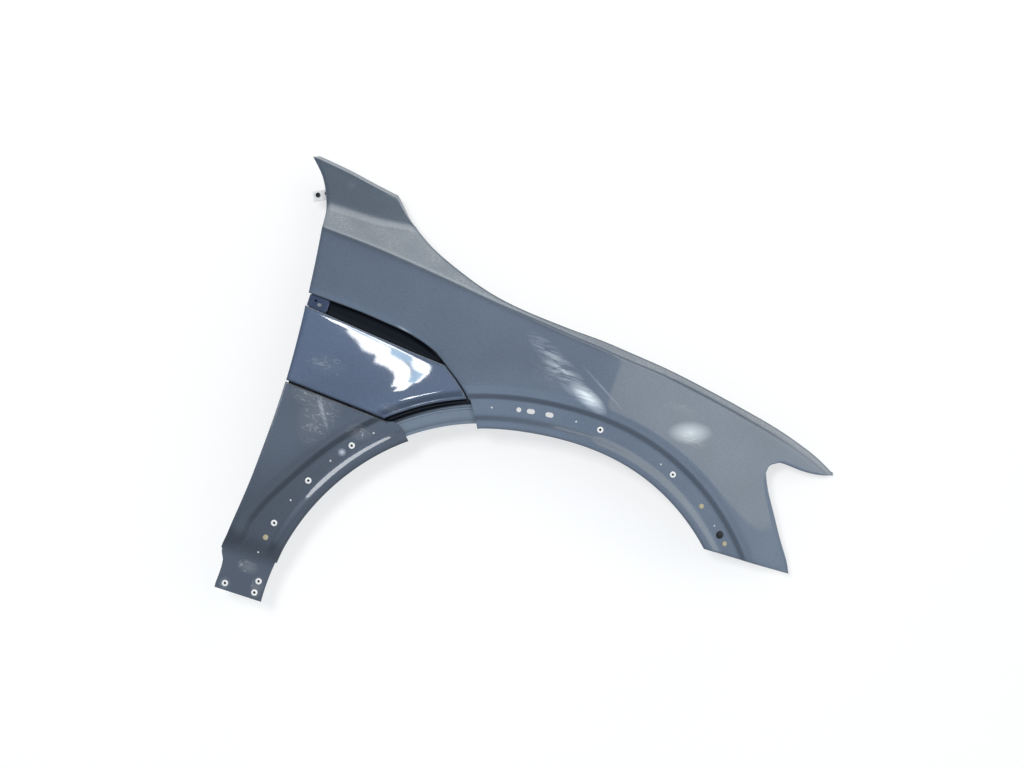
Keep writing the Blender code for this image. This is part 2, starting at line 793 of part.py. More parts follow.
def rail(bm, edge):
    """Bonnet-side mounting flange, beyond the return edge."""
    verts = [v for v in edge if RAIL_REAR < v.co.x < RAIL_FRONT
             and v.co.z > through(CREASE, v.co.x) - 20]
    verts.sort(key=lambda v: v.co.x)

    def corner(v, i):
        return Vector((v.co.x, v.co.y + 1.0, land_z(v.co.x) + BEND))

    def floor(v, i):
        return Vector((v.co.x, v.co.y + 1.0 + BEND, land_z(v.co.x)))

    def lip(v, i):
        return Vector((v.co.x, v.co.y + 1.0 + RAIL_WIDTH, land_z(v.co.x)))

    add_rows(bm, verts, [corner, floor, lip])


def rail_point(x):
    """Middle of the bonnet-side flange's upper face at x."""
    z = through(TOP, x) - BEND
    deep, _ = wing_reach(x, z)
    y = wing_depth(x, z) + deep + 1.0 + (BEND + RAIL_WIDTH) / 2
    return Vector((x, y, land_z(x)))


ORIGIN = rail_point(LAND_X[1]) - Vector((14.0, 0, SHEET))


def wing_holes():
    holes = []
    hole = GROMMET_BARREL + HOLE_CLEARANCE
    for angle in WING_GROMMETS:
        holes.append((on_arch(angle, wing_depth), circle(hole), 14))
    for angle in WING_SMALL_HOLES:
        holes.append((on_arch(angle, wing_depth), circle(SMALL_HOLE, 8), 14))
    holes.append((on_arch(WING_LARGE_HOLE, wing_depth), circle(LARGE_HOLE), 14))
    for angle in WING_OVAL_HOLES:
        place = on_arch(angle, wing_depth) @ Matrix.Rotation(math.radians(90 - angle), 4, "Z")
        holes.append((place, oval(LARGE_HOLE, 7.0), 14))
    for angle in (PLUG_ANGLE,) + STUB_ANGLES:
        holes.append((on_arch(angle, wing_depth), circle(hole), 14))
    for x in LAND_X:
        p = rail_point(x)
        holes.append((Matrix.Translation(p), oval(LAND_HOLE / 2, LAND_HOLE * 0.7), 12))
    for x in JOIN_X:
        holes.append((slot_frame(x), circle(SCREW_SHANK + HOLE_CLEARANCE), 5))
    place = pillar_frame() @ pillar_rivet_turn()
    holes.append((place, circle(SCREW_SHANK + HOLE_CLEARANCE), 6))
    return holes


def slot_frame(x):
    """Frame on the wing's flange over the slot, local Z up through it."""
    slope = (through(SLOT_TOP, x + 5) - through(SLOT_TOP, x - 5)) / 10
    z = through(SLOT_TOP, x)
    return along_z(x, wing_depth(x, z + BEND) + JOIN_DEPTH, z + SHEET / 2, slope)


def seam_frame(x):
    """Frame on the lower panel's top flange, local Z up through it."""
    slope = (SEAM_FRONT_Z - SEAM_REAR_Z) / (SEAM_FRONT_X - SEAM_REAR_X)
    z = seam_z(x) - PANEL_GAP / 2
    return along_z(x, leg_depth(x, z - BEND) + JOIN_DEPTH, z - SHEET / 2, slope)


def join_places():
    """X, frame and side of the carrier for each screw through the steel panels' flanges."""
    places = [(x, slot_frame(x), -1) for x in JOIN_X]
    return places + [(x, seam_frame(x), 1) for x in SEAM_JOIN_X]


def pillar_frame():
    """Frame on the return edge behind the sail: X forward, Y inboard, Z up along the edge."""
    def edge(z):
        x = door_x(z)
        return Vector((x, wing_depth(x + BEND, z), z))

    along = (edge(PILLAR_Z + 10) - edge(PILLAR_Z - 10)).normalized()
    forward = Vector((0, 1, 0)).cross(along).normalized()
    inboard = along.cross(forward)
    turn = Matrix((forward, inboard, along)).transposed().to_4x4()
    return Matrix.Translation(edge(PILLAR_Z)) @ turn


def leg_width(angle):
    """Width of the recessed flange, kept clear of the door edge near the foot."""
    z = -math.tan(math.radians(180 - angle)) * door_x(60)
    reach = -door_x(z) / math.cos(math.radians(180 - angle)) - arch_radius(angle)
    return min(through(LEG_STEP, angle), reach - STEP_ROLL - BEND - 4)


def leg_grids():
    """Patches of the lower panel: the arch flange and the skin behind it."""
    count = 20
    top_gap = PANEL_GAP / 2 + BEND
    flange = []
    for offset in ARCH_ROWS:
        start = through(LEG_FRONT, offset)
        row = []
        for t in spaced(0, 1, count):
            s = offset
            angle = start
            for _ in range(4):
                if offset > HOLE_LINE + 1:
                    s = offset + leg_width(angle) - STEP_TOP
                elif offset == 0:
                    s = BEND * smooth((polar(angle, s).y - FOOT_FOLD) / FOLD_EASE)
                end = 180 + math.degrees(math.asin(-FOOT_Z / (arch_radius(180) + s)))
                angle = start + (end - start) * t
            row.append(polar(angle, s))
        row[-1].y = FOOT_Z
        if offset > 46:
            row[0].y = seam_z(row[0].x) - top_gap
        flange.append(row[::-1])
    step = flange[-1]
    seam_end = seam_z(SEAM_REAR_X) - top_gap
    door = []
    for z in spaced(FOOT_Z, seam_end, count):
        door.append(Vector((door_x(z) + BEND * smooth((z - FOOT_FOLD) / FOLD_EASE), z)))
    foot = [step[0].lerp(door[0], t) for t in spaced(0, 1, 4)]
    seam = []
    for x in spaced(step[-1].x, door[-1].x, 4):
        seam.append(Vector((x, seam_z(x) - top_gap)))
    return [flange, coons(step, door, foot, seam)]


def clear_scene():
    for obj in list(bpy.data.objects):
        bpy.data.objects.remove(obj, do_unlink=True)


def wing_panel(material):
    bm = skin(wing_grids(), wing_depth)

    def folded(x, z):
        offset, angle = arch_offset(x, z)
        return not (BEND + 1 < offset < STEP_TOP - STEP_WALL and angle > WING_REAR[0][1] - 1.2)

    for edge in fold(bm, folded, wing_reach):
        rail(bm, edge)
    return panel("wing_panel", bm, SHEET, material, wing_holes())


def lower_panel(material):
    bm = skin(leg_grids(), leg_depth)

    def folded(x, z):
        offset, angle = arch_offset(x, z)
        cut_end = angle < LEG_FRONT[3][1] + 0.3 and BEND + 1 < offset < LEG_FRONT[3][0] - 1
        return z > FOOT_FOLD + FOLD_EASE and not cut_end

    def reach(x, z):
        offset, _ = arch_offset(x, z)
        if offset < LIP:
            return BEND + ARCH_RETURN, 0.0
        if z > seam_z(x) - PANEL_GAP / 2 - BEND - 1:
            return (JOIN_FLANGE if x < SEAM_FRONT_X - JOIN_START else BEND + ARCH_RETURN), 0.0
        return RETURN, 0.0

    fold(bm, folded, reach)
    holes = []
    hole = GROMMET_BARREL + HOLE_CLEARANCE
    for angle in LEG_GROMMETS + (CLIP_ANGLE,):
        holes.append((on_arch(angle, leg_depth), circle(hole), 14))
    for angle in LEG_SMALL_HOLES:
        holes.append((on_arch(angle, leg_depth), circle(SMALL_HOLE, 8), 14))
    for x, z in FOOT_GROMMETS:
        holes.append((seated(x, z, leg_depth), circle(hole), 14))
    for x in SEAM_JOIN_X:
        holes.append((seam_frame(x), circle(SCREW_SHANK + HOLE_CLEARANCE), 5))
    return panel("lower_panel", bm, SHEET, material, holes)


def vent_gap(offset, inset):
    """Front edge of the vent panel: the wing's rear edge, set back by the gap and inset."""
    angle = through(WING_REAR, offset)
    radius = arch_radius(angle) + offset
    return polar(angle + math.degrees((PANEL_GAP + inset) / radius), offset)


def vent_peak(inset):
    """Distance from the arch at which the vent panel's front edge meets its top edge."""
    offset = WING_REAR[-1][0] + 10.0
    while vent_gap(offset, inset).y > through(SLOT_BOTTOM, vent_gap(offset, inset).x) - inset:
        offset -= 0.5
    return offset


def seam_angle(offset, rise):
    """Angle at which a ring round the arch meets the seam, raised by a little."""
    angle = 131.0
    for _ in range(6):
        p = polar(angle, offset)
        angle = 180 - math.degrees(math.asin((seam_z(p.x) + rise) / p.length))
    return angle


def vent_panel(material):
    inset = VENT_BEND
    low = PANEL_GAP / 2 + inset
    peak = vent_peak(inset)
    lip = VENT_LIP + inset
    rear = door_x(SEAM_REAR_Z + low) + inset
    top_columns = 10
    front_columns = 5
    top_rear = door_corner(SLOT_BOTTOM).x + inset
    top = [Vector((x, through(SLOT_BOTTOM, x) - inset))
           for x in spaced(top_rear, vent_gap(peak, inset).x, top_columns)]
    top[-1] = vent_gap(peak, inset)
    top += [vent_gap(peak + (lip - peak) * i / front_columns, inset) for i in range(1, front_columns + 1)]
    start = seam_angle(lip, low)
    end = 180 - math.degrees(math.atan2(top[-1].y, -top[-1].x))
    arc = [polar(a, lip) for a in spaced(start, end, 7)]
    arc[-1] = top[-1]
    bottom = [Vector((x, seam_z(x) + low)) for x in spaced(rear, arc[0].x, top_columns + front_columns)]
    arc[0] = bottom[-1]
    left = []
    for z in spaced(bottom[0].y, top[0].y, 7):
        left.append(Vector((door_x(z) + inset, z)))
    left[0] = bottom[0]
    left[-1] = top[0]
    bm = skin([coons(bottom, top, left, arc)], vent_depth)
    fold(bm, lambda x, z: True, lambda x, z: (RETURN, 0.0), bend=inset)
    bosses = []
    holes = []
    for x, z in VENT_SCREWS:
        height = CARRIER_DEPTH - SEAT - VENT_SHEET / 2
        bosses.append((seated(x, z, side, VENT_SHEET / 2 + height / 2), circle(BOSS_RADIUS), height))
        pilot = height - 6.0
        middle = CARRIER_DEPTH - SEAT - pilot / 2 + 0.5
        holes.append((seated(x, z, side, middle), circle(SCREW_SHANK + SEAT), pilot + 1.0))
    return panel("vent_panel", bm, VENT_SHEET, material, holes, bosses)


def blade_depth(x, z):
    """The blade is recessed in its slot and crowned across its height."""
    middle = (through(SLOT_TOP, x) + through(SLOT_BOTTOM, x)) / 2
    half = max(2.0, (through(SLOT_TOP, x) - through(SLOT_BOTTOM, x)) / 2)
    return side(x, z) + BLADE_RECESS - 1.2 * max(0.0, 1 - ((z - middle) / half) ** 2)


def trim_blade(material):
    gap = 1.0
    tip_x = SLOT_TOP[-2][0] + 4.0
    count = 14
    top = [Vector((x, through(SLOT_TOP, x) - gap)) for x in spaced(BLADE_REAR, tip_x, count)]
    bottom = [Vector((x, through(SLOT_BOTTOM, x) + gap)) for x in spaced(BLADE_REAR, tip_x, count)]
    left = [bottom[0].lerp(top[0], t) for t in (0, 0.12, 0.5, 0.88, 1)]
    right = [bottom[-1].lerp(top[-1], t) for t in (0, 0.12, 0.5, 0.88, 1)]
    bm = skin([coons(bottom, top, left, right)], blade_depth)
    pegs = []
    for x in BLADE_PEG_X:
        length = CARRIER_DEPTH + CARRIER_SHEET + 3.0 - BLADE_RECESS - BLADE_SHEET / 2
        place = seated(x, slot_middle(x), side, BLADE_RECESS + BLADE_SHEET / 2 + length / 2)
        pegs.append((place, circle(PEG_RADIUS), length))
    return panel("trim_blade", bm, BLADE_SHEET, material, (), pegs)


def slot_middle(x):
    return (through(SLOT_TOP, x) + through(SLOT_BOTTOM, x)) / 2


def tab_depth(x, z):
    return side(x, z) + TAB_RECESS


def trim_tab(material):
    """Recessed end of the slot: a small painted plate turned in to the carrier."""
    gap = 1.0
    front = BLADE_REAR - 2.0 - BEND
    rear = door_x(slot_middle(SLOT_TOP[0][0])) + BEND
    top = [Vector((x, through(SLOT_TOP, x) - gap)) for x in spaced(rear, front, 3)]
    bottom = [Vector((x, through(SLOT_BOTTOM, x) + gap)) for x in spaced(rear, front, 3)]
    left = [bottom[0].lerp(top[0], t) for t in (0, 0.25, 0.5, 0.75, 1)]
    right = [bottom[-1].lerp(top[-1], t) for t in (0, 0.25, 0.5, 0.75, 1)]
    bm = skin([coons(bottom, top, left, right)], tab_depth)
    turn = CARRIER_DEPTH - TAB_RECESS - SEAT
    corners = (top[-1].y - 2, bottom[-1].y + 2)

    def turned_in(x, z):
        return x > front - 0.5 and corners[1] < z < corners[0]

    fold(bm, turned_in, lambda x, z: (turn, 0.0))
    holes = [(seated(*TAB_SCREW, tab_depth), circle(SCREW_SHANK + HOLE_CLEARANCE), 5)]
    holes.append((seated(*TAB_HOLE, tab_depth), circle(TAB_HOLE_RADIUS), 5))
    return panel("trim_tab", bm, SHEET, material, holes)


def outlet_depth(x, z):
    """Ridged tray of the air outlet, sinking inboard under the vent panel's lip."""
    offset, angle = arch_offset(x, z)
    depth = CARRIER_DEPTH - OUTLET_SHEET - SEAT
    for (s0, y0), (s1, y1) in zip(OUTLET_PROFILE, OUTLET_PROFILE[1:]):
        if s0 <= offset + 0.01 <= s1:
            depth = y0 + (y1 - y0) * (offset - s0) / (s1 - s0)
    ends = max(smooth(1 - (angle - OUTLET_FRONT) / 1.6), smooth(1 - (OUTLET_REAR - angle) / 1.6))
    rim = OUTLET_RIM * ends * smooth((VENT_LIP - offset) / 12)
    return side(x, z) + depth - rim


def air_outlet(material):
    angles = [OUTLET_FRONT, OUTLET_FRONT + 0.8, OUTLET_FRONT + 1.6]
    angles += spaced(OUTLET_FRONT + 3.5, OUTLET_REAR - 3.5, 5)
    angles += [OUTLET_REAR - 1.6, OUTLET_REAR - 0.8, OUTLET_REAR]
    angles.reverse()
    rows = [[polar(a, s) for a in angles] for s, _ in OUTLET_PROFILE]
    bm = skin([rows], outlet_depth)
    holes = []
    for angle in OUTLET_SCREWS:
        place = on_arch(angle, side, OUTLET_SCREW_LINE, CARRIER_DEPTH)
        holes.append((place, circle(SCREW_SHANK + HOLE_CLEARANCE), 8))
    return panel("air_outlet", bm, OUTLET_SHEET, material, holes)


def carrier_depth(x, z):
    return side(x, z) + CARRIER_DEPTH


def carrier(material):
    """Plate behind the slot and the vent panel, tabbed to the two steel panels."""
    rear = door_x(SLOT_TOP[0][1]) + CARRIER_INSET
    shoulder_x = SLOT_TOP[4][0]
    over = SHEET + CARRIER_OVERLAP
    top = [Vector((x, through(SLOT_TOP, x) + over)) for x in spaced(rear, shoulder_x, 9)]
    ring = OUTLET_SCREW_LINE - 10.0
    overlap = PANEL_GAP + 5.0
    front = vent_gap(ring, -overlap)
    peak = vent_gap(WING_REAR[-1][0] + 5.0, -overlap)
    top += [top[-1].lerp(peak, 0.5), peak, peak.lerp(front, 0.33), peak.lerp(front, 0.67), front]
    top[10].y = through(SLOT_TOP, top[10].x) + over
    drop = -PANEL_GAP / 2 - over
    toe = ring - CARRIER_TOE
    start = seam_angle(toe, drop)
    end = 180 - math.degrees(math.atan2(front.y, -front.x))
    arc = [polar(start + (end - start) * t, toe + (ring - toe) * smooth(4 * t))
           for t in spaced(0, 1, 6)]
    arc[-1] = front
    foot = door_x(SEAM_REAR_Z) + CARRIER_INSET
    bottom = [Vector((x, seam_z(x) + drop)) for x in spaced(foot, arc[0].x, len(top) - 1)]
    arc[0] = bottom[-1]
    left = [Vector((door_x(z) + CARRIER_INSET, z)) for z in spaced(bottom[0].y, top[0].y, 6)]
    left[0] = bottom[0]
    left[-1] = top[0]
    bm = skin([coons(bottom, top, left, arc)], carrier_depth)
    holes = []
    tabs = []
    hole = SCREW_SHANK + HOLE_CLEARANCE
    reach = CARRIER_DEPTH + CARRIER_SHEET / 2 - JOIN_DEPTH
    tab = [(-JOIN_TAB_HALF, -CARRIER_WALL / 2), (JOIN_TAB_HALF, -CARRIER_WALL / 2),
           (JOIN_TAB_HALF, reach), (-JOIN_TAB_HALF, reach)]
    middle = SHEET / 2 + 2 * SEAT + CARRIER_SHEET / 2
    for x, frame, away in join_places():
        place = frame @ Matrix.Translation((0, 0, away * middle))
        tabs.append((place, tab, CARRIER_SHEET))
        holes.append((place, circle(hole, 8), 2 * CARRIER_SHEET))
    for x, z in VENT_SCREWS:
        holes.append((seated(x, z, side, CARRIER_DEPTH), circle(hole, 8), 8))
    behind_tab = seated(*TAB_SCREW, tab_depth, CARRIER_DEPTH - TAB_RECESS)
    holes.append((behind_tab, circle(hole, 8), 8))
    for x in BLADE_PEG_X:
        place = seated(x, slot_middle(x), side, CARRIER_DEPTH)
        holes.append((place, circle(PEG_RADIUS + HOLE_CLEARANCE), 8))
    for angle in OUTLET_SCREWS:
        place = on_arch(angle, side, OUTLET_SCREW_LINE, CARRIER_DEPTH)
        holes.append((place, circle(hole, 8), 8))
    return panel("carrier", bm, CARRIER_SHEET, material, holes, tabs)


def grommet(name, place, material):
    """Push-in nut: a ring on the face, a barrel through the sheet and a barb behind it."""
    front = -SEAT - 1.0
    back = SHEET + SEAT
    profile = [(GROMMET_BORE, front), (GROMMET_RADIUS - 0.8, front), (GROMMET_RADIUS, -SEAT),
               (GROMMET_BARREL, -SEAT), (GROMMET_BARREL, back), (GROMMET_BARREL + 1.1, back),
               (GROMMET_BORE + 1.0, back + 4.0), (GROMMET_BORE, back + 4.0)]
    return turned(name, place, profile, material, 10, hollow=True)


def plug(name, place, radius, dome, material, count=10):
    """Press-in plug or clip: a domed head, a stem through the hole and a barb."""
    back = SHEET + SEAT
    profile = [(radius * 0.55, -SEAT - dome), (radius * 0.9, -SEAT - dome * 0.6),
               (radius, -SEAT), (GROMMET_BARREL, -SEAT), (GROMMET_BARREL, back),
               (GROMMET_BARREL + 0.9, back), (1.6, back + 6.0)]
    return turned(name, place, profile, material, count)


def screw(name, place, length, material):
    """Pan-head screw: the head sits behind local Z = 0 and the shank points along -Z."""
    profile = [(SCREW_SHANK * 0.6, -length), (SCREW_SHANK, -length + 1.5), (SCREW_SHANK, 0.0),
               (SCREW_HEAD, 0.0), (SCREW_HEAD, SCREW_HEAD_HEIGHT * 0.5),
               (SCREW_HEAD * 0.7, SCREW_HEAD_HEIGHT)]
    return turned(name, place, profile, material, 8)


def nut(name, place, material):
    """Hexagon nut on local Z = 0, rising along +Z."""
    bore = (SCREW_SHANK + SEAT) / math.cos(math.pi / 6)
    bm = bmesh.new()
    rings = []
    for height in (0.0, NUT_HEIGHT):
        for radius in (NUT_RADIUS, bore):
            rings.append([bm.verts.new(place @ Vector((x, y, height)))
                          for x, y in circle(radius, 6)])
    outer_low, inner_low, outer_high, inner_high = rings
    for low, high in ((outer_low, outer_high), (inner_low, inner_high)):
        for i in range(len(low)):
            k = (i + 1) % len(low)
            bm.faces.new((low[i], low[k], high[k], high[i]))
    for outer, inner in ((outer_low, inner_low), (outer_high, inner_high)):
        for i in range(6):
            k = (i + 1) % 6
            bm.faces.new((outer[i], outer[k], inner[k], inner[i]))
    return to_object(name, bm, material)


def pillar_pieces(steel, dark):
    """Bracket riveted inside the return edge behind the sail, with a clip on its tab."""
    place = pillar_frame()
    inner = SHEET + 2 * SEAT
    free = RETURN * 0.97 + 2 * SEAT
    outline = [(inner, 3.0), (inner + 1.5, 3.0), (inner + 1.5, free + 1.5),
               (-PILLAR_TAB, free + 1.5), (-PILLAR_TAB, free), (inner, free)]
    bm = bmesh.new()
    add_prism(bm, place, outline, PILLAR_WIDTH)
    obj = to_object("pillar_bracket", bm, steel)
    hole = circle(SCREW_SHANK + HOLE_CLEARANCE)
    turns = ((pillar_rivet_turn(), 12), (pillar_clip_turn(), 8))
    combine(obj, "holes", "DIFFERENCE", [(place @ t, hole, length) for t, length in turns], steel)
    rivet = [(SCREW_HEAD * 0.4, -2.3), (SCREW_HEAD * 0.65, -2 * SEAT), (SCREW_SHANK, -2 * SEAT),
             (SCREW_SHANK, inner + 1.5 + SEAT), (SCREW_HEAD * 0.7, inner + 1.5 + SEAT),
             (SCREW_HEAD * 0.6, inner + 3.5)]
    turned("pillar_rivet", place @ pillar_rivet_turn(), rivet, dark, 8)
    clip = [(2.0, -5.5), (4.2, -4.5), (4.2, -SEAT), (SCREW_SHANK, -SEAT),
            (SCREW_SHANK, 1.5 + SEAT), (3.6, 1.5 + SEAT), (2.0, 6.0)]
    turned("pillar_clip", place @ pillar_clip_turn(), clip, dark, 10)


def pillar_rivet_turn():
    """From the bracket's frame to the rivet's, whose Z runs forward through the edge."""
    return Matrix.Translation((0, 6.2, 0)) @ Matrix.Rotation(math.radians(90), 4, "Y")


def pillar_clip_turn():
    """From the bracket's frame to the clip's, whose Z runs inboard through the tab."""
    seat = Vector((-PILLAR_TAB * 0.62, RETURN * 0.97 + 2 * SEAT, 0))
    return Matrix.Translation(seat) @ Matrix.Rotation(math.radians(-90), 4, "X")


def fastenings(white, cream, black, steel, dark):
    for i, angle in enumerate(LEG_GROMMETS):
        grommet(f"arch_grommet_{i + 1}", on_arch(angle, leg_depth), white)
    for i, angle in enumerate(WING_GROMMETS):
        number = len(LEG_GROMMETS) + i + 1
        grommet(f"arch_grommet_{number}", on_arch(angle, wing_depth), white)
    for i, (x, z) in enumerate(FOOT_GROMMETS):
        grommet(f"sill_grommet_{i + 1}", seated(x, z, leg_depth), white)
    plug("arch_clip", on_arch(CLIP_ANGLE, leg_depth), CLIP_RADIUS, 2.2, cream)
    plug("arch_plug", on_arch(PLUG_ANGLE, wing_depth), PLUG_RADIUS, 2.0, black)
    for i, angle in enumerate(STUB_ANGLES):
        plug(f"clip_stub_{i + 1}", on_arch(angle, wing_depth), STUB_RADIUS, 1.2, cream, 8)
    behind = CARRIER_DEPTH + CARRIER_SHEET + SEAT
    for i, (x, z) in enumerate(VENT_SCREWS):
        screw(f"vent_screw_{i + 1}", seated(x, z, side, behind), 16.0, steel)
    for i, angle in enumerate(OUTLET_SCREWS):
        place = on_arch(angle, side, OUTLET_SCREW_LINE, behind)
        screw(f"outlet_screw_{i + 1}", place, 9.0, steel)
    flip = Matrix.Rotation(math.pi, 4, "X")
    screw("tab_screw", seated(*TAB_SCREW, tab_depth, -SEAT) @ flip, 22.0, steel)
    wall = SHEET / 2 + 2 * SEAT + CARRIER_SHEET + SEAT
    for i, (x, place, away) in enumerate(join_places()):
        turn = flip if away < 0 else Matrix.Identity(4)
        head = place @ Matrix.Translation((0, 0, away * wall)) @ turn
        screw(f"join_screw_{i + 1}", head, 10.0, dark)
        beyond = place @ Matrix.Translation((0, 0, -away * (SHEET / 2 + SEAT)))
        nut(f"join_nut_{i + 1}", beyond @ Matrix.Rotation(math.pi, 4, "X") @ turn, dark)


def main():
    clear_scene()
    body = paint("body_paint", (0.11, 0.135, 0.17), 0.25, 0.6)
    painted_plastic = paint("painted_plastic", (0.11, 0.135, 0.17), 0.25, 0.6)
    gloss = paint("gloss_black", (0.006, 0.007, 0.012), 0.08, 0.0)
    moulding = paint("grey_moulding", (0.05, 0.06, 0.07), 0.4, 0.0)
    white = paint("white_nylon", (0.8, 0.8, 0.76), 0.45, 0.0)
    cream = paint("cream_nylon", (0.62, 0.58, 0.46), 0.5, 0.0)
    black = paint("black_nylon", (0.01, 0.01, 0.012), 0.4, 0.0)
    steel = paint("zinc_steel", (0.5, 0.5, 0.5), 0.35, 0.9)
    dark = paint("black_steel", (0.015, 0.015, 0.015), 0.4, 0.5)
    wing_panel(body)
    lower_panel(body)
    vent_panel(painted_plastic)
    trim_blade(gloss)
    trim_tab(body)
    air_outlet(moulding)
    carrier(black)
    fastenings(white, cream, black, steel, dark)
    pillar_pieces(white, black)


main()
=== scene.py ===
# %% [markdown]
# A car's front fender, dressed for a picture.
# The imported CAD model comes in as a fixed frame. Every painted panel is then drawn again
# from the same sizes with a finer mesh, because gloss paint shows each facet, and each
# piece gets a material named for what the real one is.

# %% Load the frame
import math

import bmesh
import bpy
from mathutils import Matrix, Vector


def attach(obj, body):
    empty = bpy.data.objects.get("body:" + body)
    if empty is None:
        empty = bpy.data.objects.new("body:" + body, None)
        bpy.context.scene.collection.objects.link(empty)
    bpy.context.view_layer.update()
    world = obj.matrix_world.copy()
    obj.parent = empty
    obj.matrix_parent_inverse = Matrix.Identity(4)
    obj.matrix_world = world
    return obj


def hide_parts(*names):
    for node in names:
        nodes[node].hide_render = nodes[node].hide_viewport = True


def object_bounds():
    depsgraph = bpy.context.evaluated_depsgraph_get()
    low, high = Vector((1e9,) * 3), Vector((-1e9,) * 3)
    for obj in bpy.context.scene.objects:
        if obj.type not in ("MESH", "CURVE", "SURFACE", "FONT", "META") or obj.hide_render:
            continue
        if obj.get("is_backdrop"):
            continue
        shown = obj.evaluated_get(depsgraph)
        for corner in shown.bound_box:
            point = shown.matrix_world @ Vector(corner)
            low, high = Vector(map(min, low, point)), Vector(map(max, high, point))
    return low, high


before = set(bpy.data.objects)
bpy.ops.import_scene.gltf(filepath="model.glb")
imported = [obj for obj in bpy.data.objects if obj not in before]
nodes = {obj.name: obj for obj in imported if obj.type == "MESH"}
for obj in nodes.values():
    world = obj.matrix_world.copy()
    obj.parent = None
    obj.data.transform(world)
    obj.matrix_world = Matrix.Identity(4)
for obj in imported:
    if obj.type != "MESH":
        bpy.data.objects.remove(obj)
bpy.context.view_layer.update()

MM = 0.001
print("CAD nodes:", len(nodes))


# %% [markdown]
# The sizes are the part's own, in millimetres about the wheel centre: X forward, Y inboard,
# Z up. They are written again here because this file reads nothing but the frame. The wheel
# arch comes first: all outlines are measured from its edge, as a panel beater would do.

# %% Sheet and wheel arch
# Thickness of the steel, radius of its bends, depth of a return edge and of the one at the arch
SHEET = 1.1
BEND = 2.5
RETURN = 10.0
ARCH_RETURN = 3.0
# Gap between two panels, and clearance under each head
PANEL_GAP = 3.2
SEAT = 0.3
ARCH_RADIUS = 420.0
# The outlines are drawn for a 420 mm arch, and grow and shrink with it
PLAN = ARCH_RADIUS / 420.0
# The arch is flatter over the top: by how much, at which angle and over what spread
ARCH_FLAT = 9.0
FLAT_ANGLE = 97
FLAT_SPREAD = 20


def arch_radius(angle):
    """The arch is a circle, slightly flattened over the top."""
    return ARCH_RADIUS - ARCH_FLAT * math.exp(-((angle - FLAT_ANGLE) / FLAT_SPREAD) ** 2)


def polar(angle, offset):
    """Point at an angle about the wheel centre, offset outward from the arch edge."""
    r = arch_radius(angle) + offset
    a = math.radians(angle)
    return Vector((r * math.cos(a), r * math.sin(a)))


def arch_offset(x, z):
    """Distance outward from the arch edge, and the angle about the wheel centre."""
    angle = math.degrees(math.atan2(z, x)) % 360
    return math.hypot(x, z) - arch_radius(angle), angle


print("arch radius at the top", round(arch_radius(90), 1), "mm")


# %% [markdown]
# A pressed panel has no corners in its long lines. Each line is a few measured points with a
# smooth curve through them, which is easy to correct: moving one point moves only its part
# of the line. Two small easing functions round the places where surfaces meet.

# %% Smooth curves
def smooth(t):
    """Ease from 0 to 1, flat at both ends."""
    t = min(max(t, 0.0), 1.0)
    return t * t * (3 - 2 * t)


def soft_ramp(t, width):
    """Zero below 0 and t above it, with a rounded corner."""
    if t > 12 * width:
        return t
    return width * math.log1p(math.exp(t / width))


def through(points, t):
    """Height of a smooth curve through points, at t along their first coordinate."""
    points = sorted(points)
    last = len(points) - 2
    i = 0
    while i < last and t > points[i + 1][0]:
        i += 1
    (x0, y0), (x1, y1) = points[i], points[i + 1]
    chord = (y1 - y0) / (x1 - x0)
    before = chord
    after = chord
    if i > 0:
        before = (y1 - points[i - 1][1]) / (x1 - points[i - 1][0])
    if i < last:
        after = (points[i + 2][1] - y0) / (points[i + 2][0] - x0)
    span = x1 - x0
    u = (t - x0) / span
    if u < 0 or u > 1:
        return y0 + chord * (t - x0)
    a = before * span - (y1 - y0)
    b = (y1 - y0) - after * span
    return y0 + u * (y1 - y0) + u * (1 - u) * (a * (1 - u) + b * u)


print("half way up an ease:", smooth(0.5))


# %% [markdown]
# These are the panel's own lines. The door edge is upright, so it gives X against Z. The
# others run fore and aft and give Z against X: the crease along the side, the valley under
# the sail, the sail's top edge, and the bonnet line.

# %% Long lines of the body
def drawn(points):
    """Outline points, set out at the size of the arch."""
    return tuple((a * PLAN, b * PLAN) for a, b in points)


def set_back(points):
    """Distances from the arch edge at the size of the arch, against angles."""
    return tuple((offset * PLAN, angle) for offset, angle in points)


DOOR_EDGE = drawn(((-21, -508), (28, -508), (46, -518), (83, -513), (196, -502), (361, -498),
                   (519, -509), (637, -524), (677, -534), (724, -558), (756, -588)))
CREASE = drawn(((-540, 637), (-428, 631), (-337, 622), (-262, 613), (-187, 604), (-108, 597),
                (-57, 592), (3, 587), (50, 582), (131, 575), (210, 563), (285, 549),
                (357, 534), (423, 516), (500, 490)))
VALLEY = drawn(((-550, 677), (-506, 677), (-445, 678), (-416, 682), (-373, 691), (-300, 730),
                (0, 900), (500, 1200)))
SAIL_TOP = drawn(((-590, 757), (-519, 748), (-465, 738), (-422, 731)))
TOP = drawn(((-423, 732), (-400, 710), (-373, 690), (-330, 663), (-272, 638), (-211, 618),
             (-150, 607), (-57, 600), (3, 598), (50, 594), (131, 586), (210, 574), (285, 561),
             (357, 547), (423, 529), (453, 518), (489, 501)))


def door_x(z):
    """The door edge at a height."""
    return through(DOOR_EDGE, z)


def door_corner(line):
    """Where a long line meets the door edge."""
    x = line[0][0]
    for _ in range(8):
        z = through(line, x)
        x = door_x(z)
    return Vector((x, z))


print("crease from", CREASE[0], "to", CREASE[-1])


# %% [markdown]
# The side of the body bulges a little in every direction, sweeps inboard at the nose and
# flares round the arch. It could be sculpted, but a formula for its depth is exact, and
# every panel, hole and clip can be set on it.

